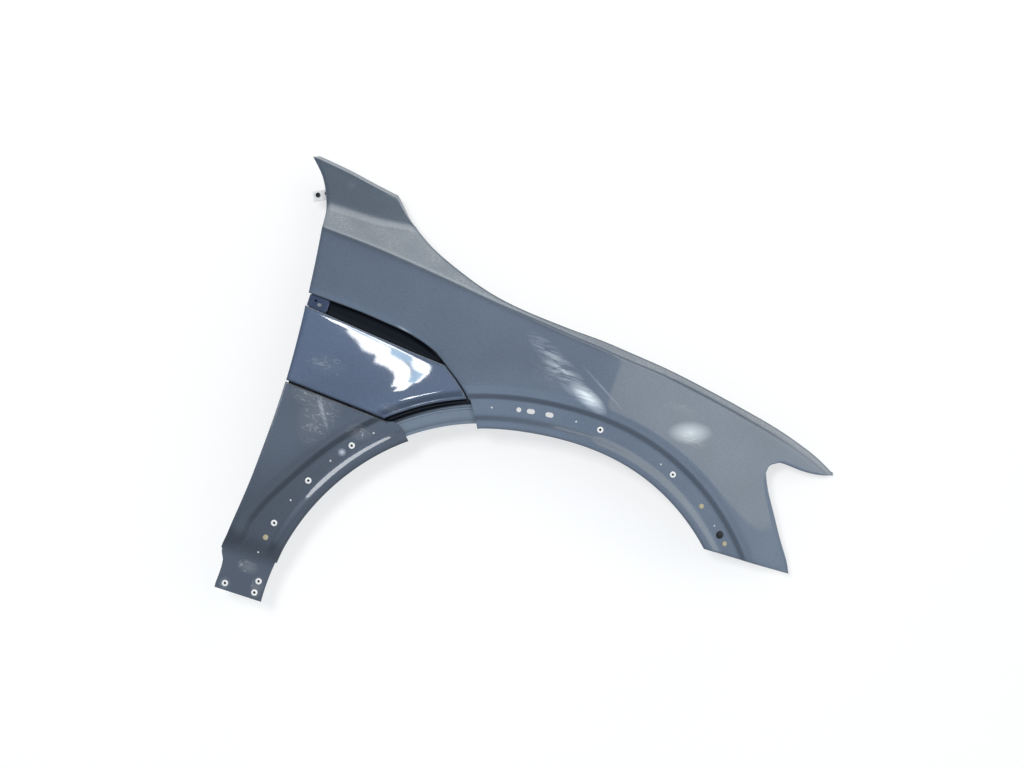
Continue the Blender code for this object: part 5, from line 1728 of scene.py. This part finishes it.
def make_lower():
    """The lower panel as one pierced sheet."""
    bm = skin(leg_grids(), leg_depth)

    def folded(x, z):
        offset, angle = arch_offset(x, z)
        cut_end = angle < LEG_FRONT[3][1] + 0.3 and BEND + 1 < offset < LEG_FRONT[3][0] - 1
        return z > FOOT_FOLD + FOLD_EASE and not cut_end

    def reach(x, z):
        offset, _ = arch_offset(x, z)
        if offset < LIP:
            return BEND + ARCH_RETURN, 0.0
        if z > seam_z(x) - PANEL_GAP / 2 - BEND - 1:
            joined = x < SEAM_FRONT_X - JOIN_START
            return (JOIN_FLANGE if joined else BEND + ARCH_RETURN), 0.0
        return RETURN, 0.0

    fold(bm, folded, reach)
    return sheet("Lower_skin", bm, SHEET, lower_holes())


lower = set_piece(make_lower(), "lower_panel", slate_lower_painted_shade)


# %% [markdown]
# The vent panel is moulded, so its sheet and its bends are thicker than the steel's. Its front
# edge follows the wing's rear edge at an even gap, and its lower front edge flares
# outboard as a lip over the air outlet.

# %% Vent panel outlines
# Thickness and bend of the moulding, distance of its lip from the arch edge, and its flare
VENT_SHEET = 2.5
VENT_BEND = 3.5
VENT_LIP = 52.0
VENT_FLARE = 5.0
VENT_FLARE_WIDTH = 24.0
# The slot's lower edge
SLOT_BOTTOM = drawn(((-515, 497), (-440, 490), (-371, 483), (-299, 476), (-257, 473)))


def vent_depth(x, z):
    """The vent panel flares outboard along the lip over the air outlet."""
    offset, _ = arch_offset(x, z)
    return side(x, z) - VENT_FLARE * smooth(1 - (offset - VENT_LIP) / VENT_FLARE_WIDTH) ** 2


def vent_gap(offset, inset):
    """Front edge of the vent panel: the wing's rear edge, set back by the gap and inset."""
    angle = through(WING_REAR, offset)
    radius = arch_radius(angle) + offset
    return polar(angle + math.degrees((PANEL_GAP + inset) / radius), offset)


def vent_peak(inset):
    """Distance from the arch at which the vent panel's front edge meets its top edge."""
    offset = WING_REAR[-1][0] + 10.0
    while vent_gap(offset, inset).y > through(SLOT_BOTTOM, vent_gap(offset, inset).x) - inset:
        offset -= 0.5
    return offset


def seam_angle(offset, rise):
    """Angle at which a ring round the arch meets the seam, raised by a little."""
    angle = 131.0
    for _ in range(6):
        p = polar(angle, offset)
        angle = 180 - math.degrees(math.asin((seam_z(p.x) + rise) / p.length))
    return angle


print("vent panel's peak is", round(vent_peak(VENT_BEND), 1), "mm from the arch edge")


# %% [markdown]
# Four hollow bosses on its back take the screws that hold it to the carrier. They are joined
# to the sheet before their pilot holes are taken out.

# %% Bosses of the vent panel
# The carrier's depth behind the skin, and the places of the four bosses
CARRIER_DEPTH = 24.0
BOSS_RADIUS = 5.0
VENT_SCREWS = drawn(((-465, 462), (-465, 392), (-330, 450), (-360, 394)))
# A pilot hole stops this far short of the skin
PILOT_STOP = 6.0


def vent_bosses():
    """Bosses and their pilot holes, as frame, outline and length."""
    bosses = []
    holes = []
    for x, z in VENT_SCREWS:
        height = CARRIER_DEPTH - SEAT - VENT_SHEET / 2
        middle = VENT_SHEET / 2 + height / 2
        bosses.append((seated(x, z, side, middle), circle(BOSS_RADIUS), height))
        pilot = height - PILOT_STOP
        middle = CARRIER_DEPTH - SEAT - pilot / 2 + 0.5
        holes.append((seated(x, z, side, middle), circle(SCREW_SHANK + SEAT), pilot + 1.0))
    return bosses, holes


print("vent screws at", VENT_SCREWS)


# %% [markdown]
# The panel is one patch between four edges: the seam, the slot, the door edge, and the lip.

# %% Vent panel
def make_vent():
    """The vent panel as one moulded sheet with its bosses."""
    inset = VENT_BEND
    low = PANEL_GAP / 2 + inset
    peak = vent_peak(inset)
    lip = VENT_LIP + inset
    rear = door_x(SEAM_REAR_Z + low) + inset
    top_columns = 10 * FINE
    front_columns = 5 * FINE
    top_rear = door_corner(SLOT_BOTTOM).x + inset
    top = [Vector((x, through(SLOT_BOTTOM, x) - inset))
           for x in spaced(top_rear, vent_gap(peak, inset).x, top_columns)]
    top[-1] = vent_gap(peak, inset)
    top += [vent_gap(peak + (lip - peak) * i / front_columns, inset)
            for i in range(1, front_columns + 1)]
    start = seam_angle(lip, low)
    end = 180 - math.degrees(math.atan2(top[-1].y, -top[-1].x))
    arc = [polar(a, lip) for a in spaced(start, end, 7 * FINE)]
    arc[-1] = top[-1]
    bottom = [Vector((x, seam_z(x) + low))
              for x in spaced(rear, arc[0].x, top_columns + front_columns)]
    arc[0] = bottom[-1]
    left = []
    for z in spaced(bottom[0].y, top[0].y, 7 * FINE):
        left.append(Vector((door_x(z) + inset, z)))
    left[0] = bottom[0]
    left[-1] = top[0]
    bm = skin([coons(bottom, top, left, arc)], vent_depth)
    fold(bm, lambda x, z: True, lambda x, z: (RETURN, 0.0), bend=inset)
    bosses, holes = vent_bosses()
    return sheet("Vent_skin", bm, VENT_SHEET, holes, bosses)


vent = set_piece(make_vent(), "vent_panel", slate_on_plastic)


# %% [markdown]
# The blade is a gloss black strip set a little below the skin, slightly crowned so that it
# catches a line of light. Two pegs on its back hold it in the carrier.

# %% Blade in the slot
# Its depth in the slot, its thickness, its rear end, and its crown across the height
BLADE_RECESS = 3.0
BLADE_SHEET = 3.0
BLADE_REAR = -465.0 * PLAN
BLADE_CROWN = 1.2
# Gap all round it
SLOT_GAP = 1.0
# The pegs pass through the carrier's sheet and stand proud of it
CARRIER_SHEET = 2.0
BLADE_PEG_X = (-430.0 * PLAN, -330.0 * PLAN)
PEG_RADIUS = 2.5
PEG_PROUD = 3.0


def slot_middle(x):
    """Height of the slot's middle line."""
    return (through(SLOT_TOP, x) + through(SLOT_BOTTOM, x)) / 2


def blade_depth(x, z):
    """The blade is recessed in its slot and crowned across its height."""
    half = max(2.0, (through(SLOT_TOP, x) - through(SLOT_BOTTOM, x)) / 2)
    across = (z - slot_middle(x)) / half
    return side(x, z) + BLADE_RECESS - BLADE_CROWN * max(0.0, 1 - across ** 2)


def make_blade():
    """The blade with its two pegs."""
    tip_x = SLOT_TOP[-2][0] + 4.0
    count = 14 * FINE
    along = spaced(BLADE_REAR, tip_x, count)
    top = [Vector((x, through(SLOT_TOP, x) - SLOT_GAP)) for x in along]
    bottom = [Vector((x, through(SLOT_BOTTOM, x) + SLOT_GAP)) for x in along]
    across = finer((0, 0.06, 0.12, 0.3, 0.5, 0.7, 0.88, 0.94, 1), FINE)
    left = [bottom[0].lerp(top[0], t) for t in across]
    right = [bottom[-1].lerp(top[-1], t) for t in across]
    bm = skin([coons(bottom, top, left, right)], blade_depth)
    pegs = []
    for x in BLADE_PEG_X:
        length = CARRIER_DEPTH + CARRIER_SHEET + PEG_PROUD - BLADE_RECESS - BLADE_SHEET / 2
        place = seated(x, slot_middle(x), side, BLADE_RECESS + BLADE_SHEET / 2 + length / 2)
        pegs.append((place, circle(PEG_RADIUS), length))
    return sheet("Blade_skin", bm, BLADE_SHEET, (), pegs)


set_piece(make_blade(), "trim_blade", piano_black)


# %% [markdown]
# Behind the blade the slot ends in a small painted plate, deeper than the blade, with a screw
# and an open hole in it. Its front edge turns in to rest on the carrier.

# %% Tab behind the blade
# Its depth in the slot, then its screw and its open hole
TAB_RECESS = 7.0
TAB_SCREW = (-484.0 * PLAN, 504.0 * PLAN)
TAB_HOLE = (-492.5 * PLAN, 509.5 * PLAN)
TAB_HOLE_RADIUS = 2.2


def tab_depth(x, z):
    """The tab lies deeper in the slot than the blade."""
    return side(x, z) + TAB_RECESS


def make_tab():
    """Recessed end of the slot: a small painted plate turned in to the carrier."""
    front = BLADE_REAR - 2.0 - BEND
    rear = door_x(slot_middle(SLOT_TOP[0][0])) + BEND
    along = spaced(rear, front, 3 * FINE)
    top = [Vector((x, through(SLOT_TOP, x) - SLOT_GAP)) for x in along]
    bottom = [Vector((x, through(SLOT_BOTTOM, x) + SLOT_GAP)) for x in along]
    left = [bottom[0].lerp(top[0], t) for t in spaced(0, 1, 4 * FINE)]
    right = [bottom[-1].lerp(top[-1], t) for t in spaced(0, 1, 4 * FINE)]
    bm = skin([coons(bottom, top, left, right)], tab_depth)
    turn = CARRIER_DEPTH - TAB_RECESS - SEAT
    corners = (top[-1].y - 2, bottom[-1].y + 2)

    def turned_in(x, z):
        return x > front - 0.5 and corners[1] < z < corners[0]

    fold(bm, turned_in, lambda x, z: (turn, 0.0))
    holes = [(seated(*TAB_SCREW, tab_depth), circle(SCREW_SHANK + HOLE_CLEARANCE), JOIN_PUNCH)]
    holes.append((seated(*TAB_HOLE, tab_depth), circle(TAB_HOLE_RADIUS), JOIN_PUNCH))
    return sheet("Tab_plate", bm, SHEET, holes)


set_piece(make_tab(), "trim_tab", slate_tab_painted_shade)


# %% [markdown]
# Air from the wheel arch leaves through a ridged plastic tray under the vent panel's lip. Its
# section is a line of depths against the distance from the arch edge, like the
# recess, and its two ends rise into a rim.

# %% Air outlet
# Thickness, the angles of its two ends, and the height of the rim there
OUTLET_SHEET = 2.0
OUTLET_FRONT = 111.5
OUTLET_REAR = 132.5
OUTLET_RIM = 3.0
# Distance outward from the arch edge against depth
OUTLET_PROFILE = ((9, 13), (12, 12), (14, 11.5), (17, 14.5), (33, 18), (35, 16), (37, 16),
                  (39, 19), (42, 19.4), (44, 17), (46, 20), (60, 21.7), (84, 21.7))
OUTLET_SCREWS = (126.0, 117.0)
OUTLET_SCREW_LINE = 72.0
# Degrees over which an end rises into the rim
RIM_WIDTH = 1.6
OUTLET_PUNCH = 8


def outlet_depth(x, z):
    """Ridged tray of the air outlet, sinking inboard under the vent panel's lip."""
    offset, angle = arch_offset(x, z)
    depth = CARRIER_DEPTH - OUTLET_SHEET - SEAT
    for (s0, y0), (s1, y1) in zip(OUTLET_PROFILE, OUTLET_PROFILE[1:]):
        if s0 <= offset + 0.01 <= s1:
            depth = y0 + (y1 - y0) * (offset - s0) / (s1 - s0)
    front_end = smooth(1 - (angle - OUTLET_FRONT) / RIM_WIDTH)
    rear_end = smooth(1 - (OUTLET_REAR - angle) / RIM_WIDTH)
    ends = max(front_end, rear_end)
    rim = OUTLET_RIM * ends * smooth((VENT_LIP - offset) / 12)
    return side(x, z) + depth - rim


def make_outlet():
    """The tray, with more rows of points near its two ends."""
    angles = [OUTLET_FRONT, OUTLET_FRONT + 0.8, OUTLET_FRONT + RIM_WIDTH]
    angles += spaced(OUTLET_FRONT + 3.5, OUTLET_REAR - 3.5, 5)
    angles += [OUTLET_REAR - RIM_WIDTH, OUTLET_REAR - 0.8, OUTLET_REAR]
    angles.reverse()
    angles = finer(angles, FINE)
    lines = finer([s for s, _ in OUTLET_PROFILE], FINE)
    rows = [[polar(a, s) for a in angles] for s in lines]
    bm = skin([rows], outlet_depth)
    holes = []
    for angle in OUTLET_SCREWS:
        place = on_arch(angle, side, OUTLET_SCREW_LINE, CARRIER_DEPTH)
        holes.append((place, circle(SCREW_SHANK + HOLE_CLEARANCE), OUTLET_PUNCH))
    return sheet("Outlet_tray", bm, OUTLET_SHEET, holes)


set_piece(make_outlet(), "air_outlet", grey_pp)


# %% [markdown]
# A push-in nut is a white nylon ring with a dark bore. Its rounded rim catches the light, and
# its barb holds it behind the sheet. The bore's far end is closed with a black cap as painted
# shade, because a real bore is deep and reads black.

# %% Push-in rings
GROMMET_RADIUS = 5.6
GROMMET_BORE = 2.3


def grommet(name, place):
    """Push-in nut: a rounded ring on the face, a barrel through the sheet and a barb behind."""
    front = -SEAT - 1.0
    back = SHEET + SEAT
    profile = [(GROMMET_BORE, front + 0.3), (GROMMET_BORE + 0.3, front),
               (GROMMET_RADIUS - 1.2, front), (GROMMET_RADIUS - 0.5, front + 0.2),
               (GROMMET_RADIUS, -SEAT - 0.2), (GROMMET_RADIUS, -SEAT), (GROMMET_BARREL, -SEAT),
               (GROMMET_BARREL, back), (GROMMET_BARREL + 1.1, back),
               (GROMMET_BORE + 1.0, back + 4.0), (GROMMET_BORE, back + 4.0)]
    ring = turned(name, place, profile, hollow=True)
    # A black cap closes the far end as painted shade, so the bore reads black
    closed = GROMMET_BORE + 0.8
    shade_cap = turned(name + "_end", place, [(closed, back + 2.0), (closed, back + 2.6)])
    bm = bmesh.new()
    bm.from_mesh(ring.data)
    first = len(bm.faces)
    bm.from_mesh(shade_cap.data)
    bm.faces.ensure_lookup_table()
    for face in bm.faces[first:]:
        face.material_index = 1
    bm.to_mesh(ring.data)
    bm.free()
    bpy.data.objects.remove(shade_cap, do_unlink=True)
    return ring


for i, angle in enumerate(LEG_GROMMETS):
    ring = grommet(f"Arch_ring_{i + 1}", on_arch(angle, leg_depth))
    set_piece(ring, f"arch_grommet_{i + 1}", white_nylon, black_nylon)
for i, angle in enumerate(WING_GROMMETS):
    number = len(LEG_GROMMETS) + i + 1
    ring = grommet(f"Arch_ring_{number}", on_arch(angle, wing_depth))
    set_piece(ring, f"arch_grommet_{number}", white_nylon, black_nylon)
for i, (x, z) in enumerate(FOOT_GROMMETS):
    ring = grommet(f"Sill_ring_{i + 1}", seated(x, z, leg_depth))
    set_piece(ring, f"sill_grommet_{i + 1}", white_nylon, black_nylon)


# %% [markdown]
# The plug and the clips are solid: a low dome over the hole, a stem through it and a barb
# behind. A round head with a soft edge looks pressed in, where a flat disc looks glued on.

# %% Plug and clips
CLIP_RADIUS = 5.0
STUB_RADIUS = 4.6
PLUG_RADIUS = 7.0


def plug(name, place, radius, dome):
    """Press-in plug or clip: a domed head, a stem through the hole and a barb."""
    back = SHEET + SEAT
    profile = [(radius * 0.2, -SEAT - dome)]
    for k in range(1, 8):
        a = math.pi / 2 * k / 7
        profile.append((radius * (0.2 + 0.8 * math.sin(a)), -SEAT - dome * math.cos(a)))
    profile += [(GROMMET_BARREL, -SEAT), (GROMMET_BARREL, back), (GROMMET_BARREL + 0.9, back),
                (1.6, back + 6.0)]
    return turned(name, place, profile)


clip = plug("Arch_clip_head", on_arch(CLIP_ANGLE, leg_depth), CLIP_RADIUS, 2.2)
set_piece(clip, "arch_clip", cream_nylon)
arch_plug = plug("Arch_plug_head", on_arch(PLUG_ANGLE, wing_depth), PLUG_RADIUS, 2.0)
set_piece(arch_plug, "arch_plug", black_nylon)
for i, angle in enumerate(STUB_ANGLES):
    stub = plug(f"Stub_{i + 1}", on_arch(angle, wing_depth), STUB_RADIUS, 1.2)
    set_piece(stub, f"clip_stub_{i + 1}", cream_nylon)


# %% [markdown]
# The carrier, the bracket and the screws are simple or out of sight, so their CAD nodes stay
# as they are and only take a finish.

# %% Finish the CAD nodes that stay
KEPT = {"carrier": black_nylon, "pillar_bracket": white_nylon, "pillar_rivet": black_nylon,
        "pillar_clip": black_nylon, "tab_screw": zinc_steel}
for name, node in nodes.items():
    material = KEPT.get(name)
    if name.startswith(("vent_screw", "outlet_screw")):
        material = zinc_steel
    elif name.startswith("join_"):
        material = black_steel
    if material:
        node.data.materials.clear()
        node.data.materials.append(material)
        print("finish", material.name, "on", name)


# %% [markdown]
# The photographer stood square to the panel's side and let it lie at an angle, so the camera
# looks straight inboard and is rolled. The lens is worked out from the
# width of panel that has to fit in the picture.

# %% Camera
VIEW_DISTANCE = 3000.0
VIEW_X = -122.2
VIEW_Z = 476.9
ROLL = math.radians(18.0)
FRAME_WIDTH = 1771.5
SENSOR = 36.0

camera_data = bpy.data.cameras.new("Camera")
camera_data.sensor_width = SENSOR
camera_data.lens = SENSOR * VIEW_DISTANCE / FRAME_WIDTH
camera = bpy.data.objects.new("Camera", camera_data)
bpy.context.scene.collection.objects.link(camera)
right = Vector((math.cos(ROLL), 0, math.sin(ROLL)))
up = Vector((-math.sin(ROLL), 0, math.cos(ROLL)))
turn = Matrix((right, up, right.cross(up))).transposed().to_4x4()
camera.matrix_world = Matrix.Translation(from_wheel(VIEW_X, -VIEW_DISTANCE, VIEW_Z)) @ turn
bpy.context.scene.camera = camera
# Standard shows the colours as they were worked out, with no film look over them
bpy.context.scene.view_settings.view_transform = "Standard"
print("lens", round(camera_data.lens, 1), "mm")


# %% [markdown]
# The panel was photographed on white. A pale board stands just behind it and takes its soft
# shadow. A white board lit to pure white would throw its light back on the part, so this
# one is grey, and glows only for the camera and in reflections.

# %% Backdrop board
# Metres: how far it stands behind the part, and half its width
BOARD_BEHIND = 0.012
BOARD_HALF = 2.6
GLOW = 0.6

deepest = max(point[1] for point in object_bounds()) + BOARD_BEHIND
middle = from_wheel(VIEW_X, 0, VIEW_Z)
corners = [(-BOARD_HALF, -BOARD_HALF), (BOARD_HALF, -BOARD_HALF),
           (BOARD_HALF, BOARD_HALF), (-BOARD_HALF, BOARD_HALF)]
mesh = bpy.data.meshes.new("Backdrop")
mesh.from_pydata([(middle.x + a, deepest, middle.z + b) for a, b in corners], [], [(0, 1, 2, 3)])
board = bpy.data.objects.new("Backdrop", mesh)
bpy.context.scene.collection.objects.link(board)
board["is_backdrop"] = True
print("board stands at", round(deepest, 4), "m")


# %% [markdown]
# Light Path tells the board what kind of ray has reached it. The glow answers the camera,
# glossy and transmission rays. The board's back is clear, so that the part can be
# looked at from behind.

# %% Glow of the board
board_paint, shader = new_material("Pale studio board")
shader.inputs["Base Color"].default_value = linear("b4b4b2")
shader.inputs["Roughness"].default_value = 1.0
shader.inputs["Specular IOR Level"].default_value = 0.0
mesh.materials.append(board_paint)
paths = add(board_paint, "ShaderNodeLightPath")
mirrored = add(board_paint, "ShaderNodeMath", LARGER, i0=paths.outputs["Is Glossy Ray"],
               i1=paths.outputs["Is Transmission Ray"])
seen = add(board_paint, "ShaderNodeMath", LARGER, i0=mirrored.outputs[0],
           i1=paths.outputs["Is Camera Ray"])
strength = add(board_paint, "ShaderNodeMath", MULTIPLY, i0=seen.outputs[0], i1=GLOW)
glow = add(board_paint, "ShaderNodeEmission", None, Color=(1, 1, 1, 1),
           Strength=strength.outputs[0])
front = add(board_paint, "ShaderNodeAddShader", None, i0=shader.outputs[0], i1=glow.outputs[0])
clear = add(board_paint, "ShaderNodeBsdfTransparent")
facing = add(board_paint, "ShaderNodeNewGeometry")
board_look = add(board_paint, "ShaderNodeMixShader", None, Fac=facing.outputs["Backfacing"],
                 i1=front.outputs[0], i2=clear.outputs[0])
board_paint.node_tree.links.new(board_look.outputs[0],
                               board_paint.node_tree.nodes["Material Output"].inputs["Surface"])
print("board glows at", GLOW)


# %% [markdown]
# Gloss paint looks like the room it mirrors, so the room has to be made too. It is painted on
# the world as a ramp over height: a dim floor, grey walls that are brightest at eye
# level, a dark stretch above them and a pale ceiling. Across the room it is
# brightest just left of the camera.

# %% Room in the world
# Height from -1 straight down to 1 straight up, brightness, colour
ROOM = ((-1.0, 0.5, "c8d0dc"), (-0.3, 0.8, "c8d0dc"), (-0.2, 0.95, "c8d0dc"),
        (-0.1, 1.5, "b8c8e0"), (0.03, 1.5, "b8c8e0"), (0.1, 1.0, "b8c8e0"),
        (0.32, 1.05, "b8c6e0"), (0.45, 0.12, "c8d0d8"), (0.86, 0.12, "d8dcdc"),
        (0.95, 2.0, "f4f4f0"))

world = bpy.data.worlds.new("Pale studio")
bpy.context.scene.world = world
world.use_nodes = True
world.node_tree.nodes.clear()
direction = add(world, "ShaderNodeTexCoord").outputs["Generated"]
way = add(world, "ShaderNodeSeparateXYZ", None, Vector=direction)
rise = add(world, "ShaderNodeMapRange", None, Value=way.outputs["Z"], From_Min=-1.0, From_Max=1.0)
height = add(world, "ShaderNodeValToRGB", None, Fac=rise.outputs[0])
ramp = height.color_ramp
while len(ramp.elements) < len(ROOM):
    ramp.elements.new(0.5)
for element, (z, level, colour) in zip(ramp.elements, ROOM):
    element.position = (z + 1) / 2
    element.color = tuple(level * c for c in linear(colour)[:3]) + (1.0,)
# Rises from the left up to the camera, and falls again just right of it
left = add(world, "ShaderNodeMapRange", None, Value=way.outputs["X"], From_Min=-0.35,
           From_Max=-0.03, To_Min=0.6, To_Max=1.45)
right_side = add(world, "ShaderNodeMapRange", None, Value=way.outputs["X"], From_Min=0.03,
                 From_Max=0.1, To_Min=1.0, To_Max=0.66)
fade = add(world, "ShaderNodeMath", MULTIPLY, i0=left.outputs[0], i1=right_side.outputs[0])
room = add(world, "ShaderNodeBackground", None, Color=height.outputs[0], Strength=fade.outputs[0])
print("room has", len(ramp.elements), "heights")


# %% [markdown]
# The nose of the wing mirrors a pale wall to the right, and the wall's edge shows as an
# upright change of tone in the paint. The camera itself sees plain white all round.

# %% Pale wall and white surround
# How far the wall turns with depth, its foot and top by height, and its brightness
WALL_SIDE = 0.17
WALL_FOOT = 0.075
WALL_TOP = 0.5
WALL_LEVEL = 2.0
WALL_EDGE = 0.004

forward = add(world, "ShaderNodeMath", TIMES_PLUS, i0=way.outputs["Y"], i1=WALL_SIDE,
              i2=way.outputs["X"])
inside = add(world, "ShaderNodeMapRange", None, Value=forward.outputs[0], From_Min=-WALL_EDGE,
             From_Max=WALL_EDGE)
above = add(world, "ShaderNodeMapRange", None, Value=way.outputs["Z"], From_Min=WALL_FOOT,
            From_Max=WALL_FOOT + 0.02)
below = add(world, "ShaderNodeMapRange", None, Value=way.outputs["Z"], From_Min=WALL_TOP,
            From_Max=WALL_TOP + 0.15, To_Min=1.0, To_Max=0.0)
between = add(world, "ShaderNodeMath", MULTIPLY, i0=inside.outputs[0], i1=above.outputs[0])
wall = add(world, "ShaderNodeMath", MULTIPLY, i0=between.outputs[0], i1=below.outputs[0])
pale = add(world, "ShaderNodeBackground", None, Color=linear("f0f0ea"), Strength=WALL_LEVEL)
lit = add(world, "ShaderNodeMixShader", None, Fac=wall.outputs[0], i1=room.outputs[0],
          i2=pale.outputs[0])
paths = add(world, "ShaderNodeLightPath")
white = add(world, "ShaderNodeBackground", None, Color=(1, 1, 1, 1), Strength=1.0)
surround = add(world, "ShaderNodeMixShader", None, Fac=paths.outputs["Is Camera Ray"],
               i1=lit.outputs[0], i2=white.outputs[0])
add(world, "ShaderNodeOutputWorld", None, Surface=surround.outputs[0])
print("world has", len(world.node_tree.nodes), "nodes")


# %% [markdown]
# A soft box is a flat area lamp. In gloss paint its shape and its brightness show, not its
# power, so the power is worked out from the brightness and the area.

# %% Soft boxes
# Every soft box faces the middle of the panel
AIM = (0, 0, 400)


def soft_box(name, centre, size, brightness, turn=0.0, colour=(1, 1, 1)):
    """A flat lamp of a given brightness; its centre and size are in millimetres."""
    lamp = bpy.data.lights.new(name, "AREA")
    lamp.shape = "RECTANGLE"
    lamp.size, lamp.size_y = size[0] * MM, size[1] * MM
    lamp.energy = brightness * math.pi * lamp.size * lamp.size_y
    lamp.color = colour
    box = bpy.data.objects.new(name, lamp)
    stand = from_wheel(*centre)
    facing = (from_wheel(*AIM) - stand).to_track_quat("-Z", "Y").to_matrix().to_4x4()
    roll = Matrix.Rotation(math.radians(turn), 4, "Z")
    box.matrix_world = Matrix.Translation(stand) @ facing @ roll
    bpy.context.scene.collection.objects.link(box)
    print("soft box", name, round(lamp.energy, 1), "W")
    return box


# %% [markdown]
# The bright patch on the vent panel is a window mirrored in it. It has the outline of several
# panes, one of them showing blue sky, so it is made of five cards. On the real panel only
# the vent panel is tilted to catch it, so light linking keeps it there.

# %% Window
SKY_BLUE = (0.55, 0.8, 1.0)

windows = [soft_box("Window_low", (-1062, -4000, 1205), (105, 215), 26, turn=5),
           soft_box("Window_left", (-1148, -4000, 1390), (118, 340), 26, turn=8),
           soft_box("Window_sky", (-1045, -4000, 1420), (90, 220), 12, colour=SKY_BLUE),
           soft_box("Window_right", (-985, -4000, 1430), (35, 230), 26),
           soft_box("Window_high", (-1060, -4000, 1600), (185, 130), 26)]
only_vent = bpy.data.collections.new("Lit by the window")
only_vent.objects.link(vent)
for window in windows:
    window.light_linking.receiver_collection = only_vent


# %% [markdown]
# A pale wall far to the left draws the light line along the lower panel's sloped strip, a
# dim one overhead lifts the shoulder, and a small key light gives the soft shadow. The
# key is hidden from reflections, since the real one isn't seen in the paint.

# %% Walls and key light
strip_light = soft_box("Strip_wall", (-3000, -4000, 1050), (1400, 1800), 9)
only_lower = bpy.data.collections.new("Lit by the strip wall")
only_lower.objects.link(lower)
strip_light.light_linking.receiver_collection = only_lower
soft_box("High_wall", (900, -3600, 3500), (2200, 1000), 1.6)
key = soft_box("Key", (-700, -3500, 760), (420, 420), 90)
key.visible_glossy = False
